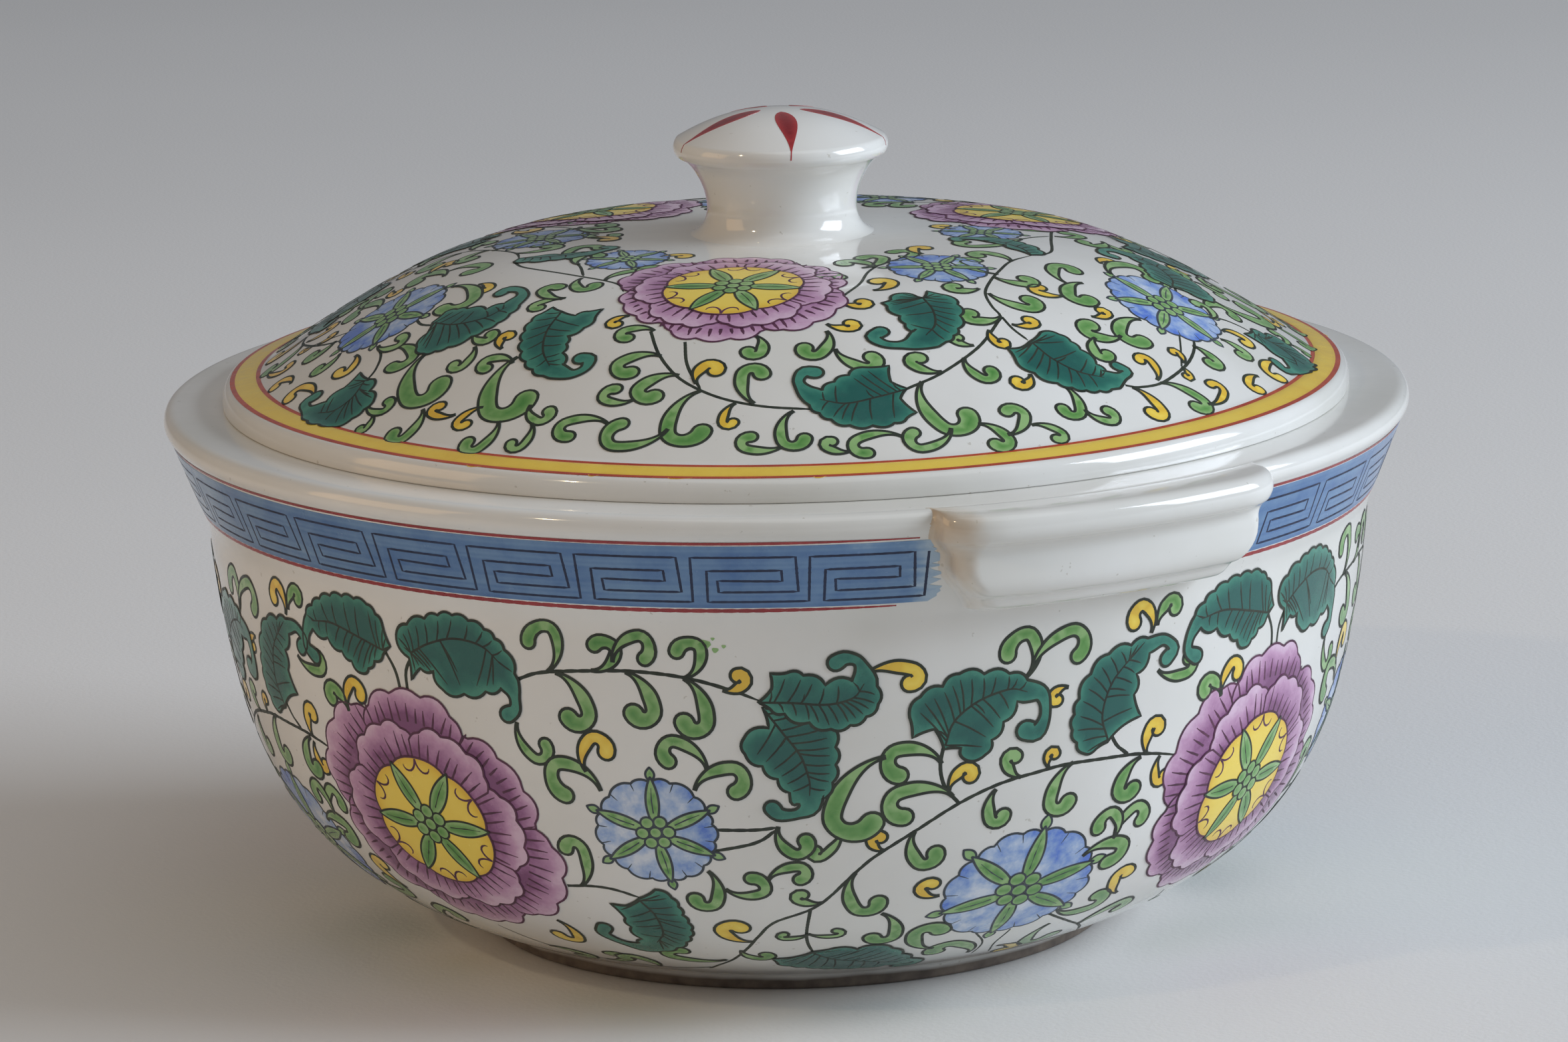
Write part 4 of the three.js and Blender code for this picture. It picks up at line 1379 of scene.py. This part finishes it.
    for root, bulb, bend, width in (
        ((-64.8, 30.5), (-62.5, 34.3), -1.4, 1.2), ((-61.5, 31), (-57, 27), 1.2, 1.5),
        ((-53.6, 31.8), (-45.9, 25.6), -1, 2.2), ((-45, 18.8), (-46, 11.9), 1, 1.4),
        ((-53.8, 17), (-51.2, 19), -1.3, 1.1), ((-51.5, 15), (-51.3, 11.3), 0.8, 0.9),
        ((-49, 39.8), (-46, 40.7), -1.2, 1.3), ((-46.5, 36.5), (-46.8, 31), 0.9, 1.2),
        ((-37.9, 33.8), (-41.2, 31.3), -1.1, 1.3), ((-38, 35.5), (-32.1, 25), -1.1, 2.2),
        ((-33.6, 18.5), (-35.6, 12.5), 1, 1.3), ((-31, 23.5), (-28.1, 22.4), -1.3, 1.2),
        ((-29.3, 18.8), (-30.3, 13.4), 0.9, 1), ((-46, 64.8), (-40, 62.6), -1.1, 1.4),
        ((-41.3, 55.5), (-46.5, 59.3), 1, 1.4), ((-41.6, 55), (-43.5, 50.7), -0.9, 1.2),
        ((-70, 50), (-62.5, 44), 1.2, 1.8), ((-20, 46.7), (-23.5, 43.9), -1.1, 1.3),
        ((-17.2, 39), (-20.3, 33.9), -1.2, 1.6), ((-13.8, 33.7), (-16, 27.8), -1.2, 1.7),
        ((-18.3, 26.8), (-21.2, 29.3), 1.3, 1.2), ((-10.5, 29.5), (-9.3, 19), -1.2, 1.7),
        ((-13.2, 19.3), (-18.7, 20.3), 1.3, 1.4), ((-20.3, 20.2), (-24.2, 16.3), -1.1, 1.3),
        ((-3.8, 26.3), (-3, 34.2), 0.9, 1.5), ((-4.2, 45.5), (-5.1, 40.7), 1, 1.4),
        ((6.3, 46.5), (2.7, 41.4), 1, 1.5), ((7, 40.8), (11.7, 37.9), -1, 1.5),
        ((0.8, 24), (1.9, 16.8), -1.1, 1.3), ((-0.4, 15.2), (-3.9, 17.6), 1, 1.2),
        ((6.5, 13.2), (4.7, 15.9), 0.9, 1.1), ((12.3, 16.3), (8.3, 12.6), -1, 1.2),
        ((20, 32.3), (18, 36.6), 1, 1.4), ((16.9, 30), (20.6, 20.4), -1.1, 1.8),
        ((18, 17.3), (13.7, 17), 1.2, 1.2), ((21.3, 17.8), (22.1, 12.2), 1.1, 1.4),
        ((24, 14.3), (25.3, 20.2), -1.1, 1.3), ((27.3, 16), (29.1, 11.8), 0.9, 1),
        ((24, 35.3), (26.5, 31), -1.1, 1.3), ((26.5, 38.7), (25, 41.5), 0.8, 1.1),
        ((34.3, 46), (30, 48.5), 0.9, 1.6), ((34.5, 24.8), (32.2, 18.9), 1, 1.3),
        ((34.8, 17.8), (37.5, 16.6), -1.3, 1.2), ((37.5, 54.5), (42.8, 49.8), -1, 1.7),
        ((37, 57), (33.2, 59.6), 0.9, 1.5), ((50.2, 34.3), (47.3, 38.9), 1.2, 1.8),
        ((45.6, 35.2), (44.7, 30.3), -1, 1.4), ((57.3, 36.7), (52.8, 31.4), -1.2, 1.8),
        ((58, 50.8), (53.4, 45.5), -1.1, 1.8), ((48.2, 20.5), (49.5, 12.9), 0.9, 1.5),
        ((60.3, 26.5), (59.4, 21.5), 0.9, 1.5), ((67.5, 25.3), (67.2, 20.3), 0.9, 1.4),
        ((44, 60.5), (49, 57.2), -1, 1.5), ((55, 52.5), (62, 55), 1, 1.6),
        ((24, 75.5), (18, 80), -1, 1.5), ((-30, 70), (-34, 76), 1, 1.5),
        ((-56, 70.8), (-60, 77), 1, 1.4), ((56, 65.5), (54, 72), -1, 1.5),
        ((21, 76), (26, 83.5), -1, 1.4), ((30, 79), (40, 85), -1, 1.3), ((10, 62), (13, 70.5), 1, 1.2),
        ((-40, 65.5), (-35, 71), 1, 1.3), ((-62, 72), (-70, 80), 1, 1.3), ((46, 61.5), (50, 70), 1, 1.3),
    ):
        art.scroll(root, bulb, bend, width)
    for root, bulb, bend, width in (
        ((-67, 26.5), (-66, 21.8), 1.3, 1.3), ((-41.7, 37.2), (-42.6, 41), 0.8, 1.2),
        ((-39.9, 18.8), (-42.9, 20.3), 0.9, 1.1), ((-37, 21.6), (-37.5, 16.8), -1, 1.1),
        ((-65, 14.6), (-69, 12), -1, 1.3), ((-65, 53.5), (-61.5, 51.8), 1, 1.3),
        ((-11.2, 31.6), (-9, 35.2), 1.1, 1.5), ((-6, 26.3), (-6, 21.3), -0.8, 1),
        ((-25.8, 51.3), (-26.7, 48), -0.9, 1.1), ((6.6, 49), (10.3, 48.8), -0.8, 1.3),
        ((10.3, 57), (13.9, 56.6), -0.9, 1.4), ((30.6, 42.5), (31.2, 38.4), -0.7, 1.1),
        ((31.3, 28.8), (29, 27.5), 0.9, 1.3), ((35, 43.2), (38.3, 43.7), -0.8, 1.2),
        ((43.5, 21), (42.8, 14.1), 0.8, 1.4), ((48, 21.5), (48.6, 27.2), -0.9, 1.1),
        ((50, 48.8), (48.2, 53), 1.1, 1.3), ((49.5, 41), (52.6, 41.8), -0.7, 1.2),
        ((55, 23.6), (55.4, 26.8), -0.8, 0.9), ((54, 22.8), (53, 20.4), 0.6, 0.9),
        ((51.5, 12.8), (55.1, 17), -0.8, 1), ((64.8, 14.7), (62, 12), -0.9, 1.2),
        ((17.5, 61.8), (19.8, 66.3), -1.2, 1.5), ((-44, 84), (-37, 86), 0.9, 1.3),
        ((45, 80), (52, 83), 0.9, 1.3),
    ):
        art.bud(root, bulb, bend, width)
    for azimuth, wide in ((-32, 1.6), (-19, 1.1), (-10.5, 2.2), (3, 1.2)):
        art.blot("yellow", (azimuth, yellow_low - 0.65), wide, 0.5)


PAINT_PIECES = (
    ("leaf", "leaves"), ("green", "scrolls"), ("yellow", "buds"), ("plum", "peonies"),
    ("blue", "blue_petals"), ("ink", "outlines"), ("plum_ink", "peony_lines"),
    ("slate_ink", "blue_flower_lines"),
)


def paint(draw, skin, seed, body, first, span, behind):
    """Draws one composition over a span of degrees and lays it again behind, in what is left of the turn."""
    painting = Painting(skin, seed)
    draw(painting)
    scale = (360 - span) / behind / span
    repeats = [(first, 1.0)] + [(first + span * (1 + k * scale), scale) for k in range(behind)]
    shells = {colour: Shell() for colour, _ in PAINT_PIECES}
    painting.lay(shells, repeats, (first, span))
    for colour, label in PAINT_PIECES:
        shells[colour].make(f"{body}_painted_{label}", finishes[colour], body, f"{body}_glaze")


# ---------------------------------------------------------------- stage

def floor():
    """Plain pale floor."""
    finish, tree, principled = shader("pale_floor")
    tint = ramp(tree, noise(tree, 1.5, 3), [(0.3, (228, 227, 225)), (0.7, (235, 234, 232))])
    tree.links.new(tint, principled.inputs["Base Color"])
    principled.inputs["Roughness"].default_value = 0.75
    bump(tree, principled, noise(tree, 900, 3), 0.15, 0.0005)
    bpy.ops.mesh.primitive_plane_add(size=12)
    plane = bpy.context.object
    plane.name = "studio_floor"
    plane.data.materials.append(finish)


def facing(thing, height):
    """The turn that makes a light or camera look at the bowl's axis at this height."""
    return (Vector((0, 0, height)) - thing.location).to_track_quat("-Z", "Y")


def lamp(name, azimuth, elevation, distance, wide, tall, power, colour):
    """Area light that faces the bowl, at an azimuth from the front and an elevation. Lengths are metres."""
    data = bpy.data.lights.new(name, "AREA")
    data.shape = "RECTANGLE"
    data.size = wide
    data.size_y = tall
    data.energy = power
    data.color = colour
    thing = bpy.data.objects.new(name, data)
    turn, rise = math.radians(azimuth + FRONT), math.radians(elevation)
    out = distance * math.cos(rise)
    thing.location = (out * math.sin(turn), -out * math.cos(turn), distance * math.sin(rise))
    bpy.context.scene.collection.objects.link(thing)
    thing.rotation_euler = facing(thing, 0.08).to_euler()


def studio():
    """Soft light, cool from the right and warm from the left, with one small warm highlight."""
    lamp("window_key", 84, 26, 2.3, 1.4, 1.1, 49, (0.81, 0.89, 1.0))
    lamp("top_fill", 30, 72, 1.8, 1.4, 1.4, 3.8, (0.94, 0.97, 1.0))
    lamp("warm_fill", -78, 20, 1.5, 0.8, 0.8, 3.0, (1.0, 0.6, 0.26))
    lamp("warm_spark", -48, 38, 2.2, 0.06, 0.06, 3.2, (1.0, 0.8, 0.5))
    world = bpy.data.worlds.new("studio_air")
    world.use_nodes = True
    background = world.node_tree.nodes["Background"]
    background.inputs["Color"].default_value = (0.92, 0.94, 1.0, 1)
    background.inputs["Strength"].default_value = 0.19
    bpy.context.scene.world = world
    bpy.context.scene.view_settings.view_transform = "Standard"


def camera():
    """Long lens from a little above, as one stands back from a table."""
    lens, roll = 152.6, -1.27
    distance, height, aim_height = 1.2611, 0.3536, 0.0766  # metres
    data = bpy.data.cameras.new("camera")
    data.lens = lens
    data.sensor_width = 36
    data.shift_x = -0.0031
    data.clip_end = 50
    thing = bpy.data.objects.new("camera", data)
    turn = math.radians(FRONT)
    thing.location = (distance * math.sin(turn), -distance * math.cos(turn), height)
    bpy.context.scene.collection.objects.link(thing)
    tilt = Matrix.Rotation(math.radians(roll), 3, "Z")
    thing.rotation_euler = (facing(thing, aim_height).to_matrix() @ tilt).to_euler()
    bpy.context.scene.camera = thing


def main():
    bowl()
    handle("handle_right_glazed", "handle_right", 0)
    handle("handle_left_glazed", "handle_left", 180)
    lid()
    knob_strokes()
    bowl_border()
    lid_border()
    paint(bowl_flowers, bowl_skin, 3, "bowl", -40.0, 94.0, 3)
    paint(lid_flowers, lid_skin, 4, "lid", -72.0, 138.5, 2)
    floor()
    studio()
    camera()


main()
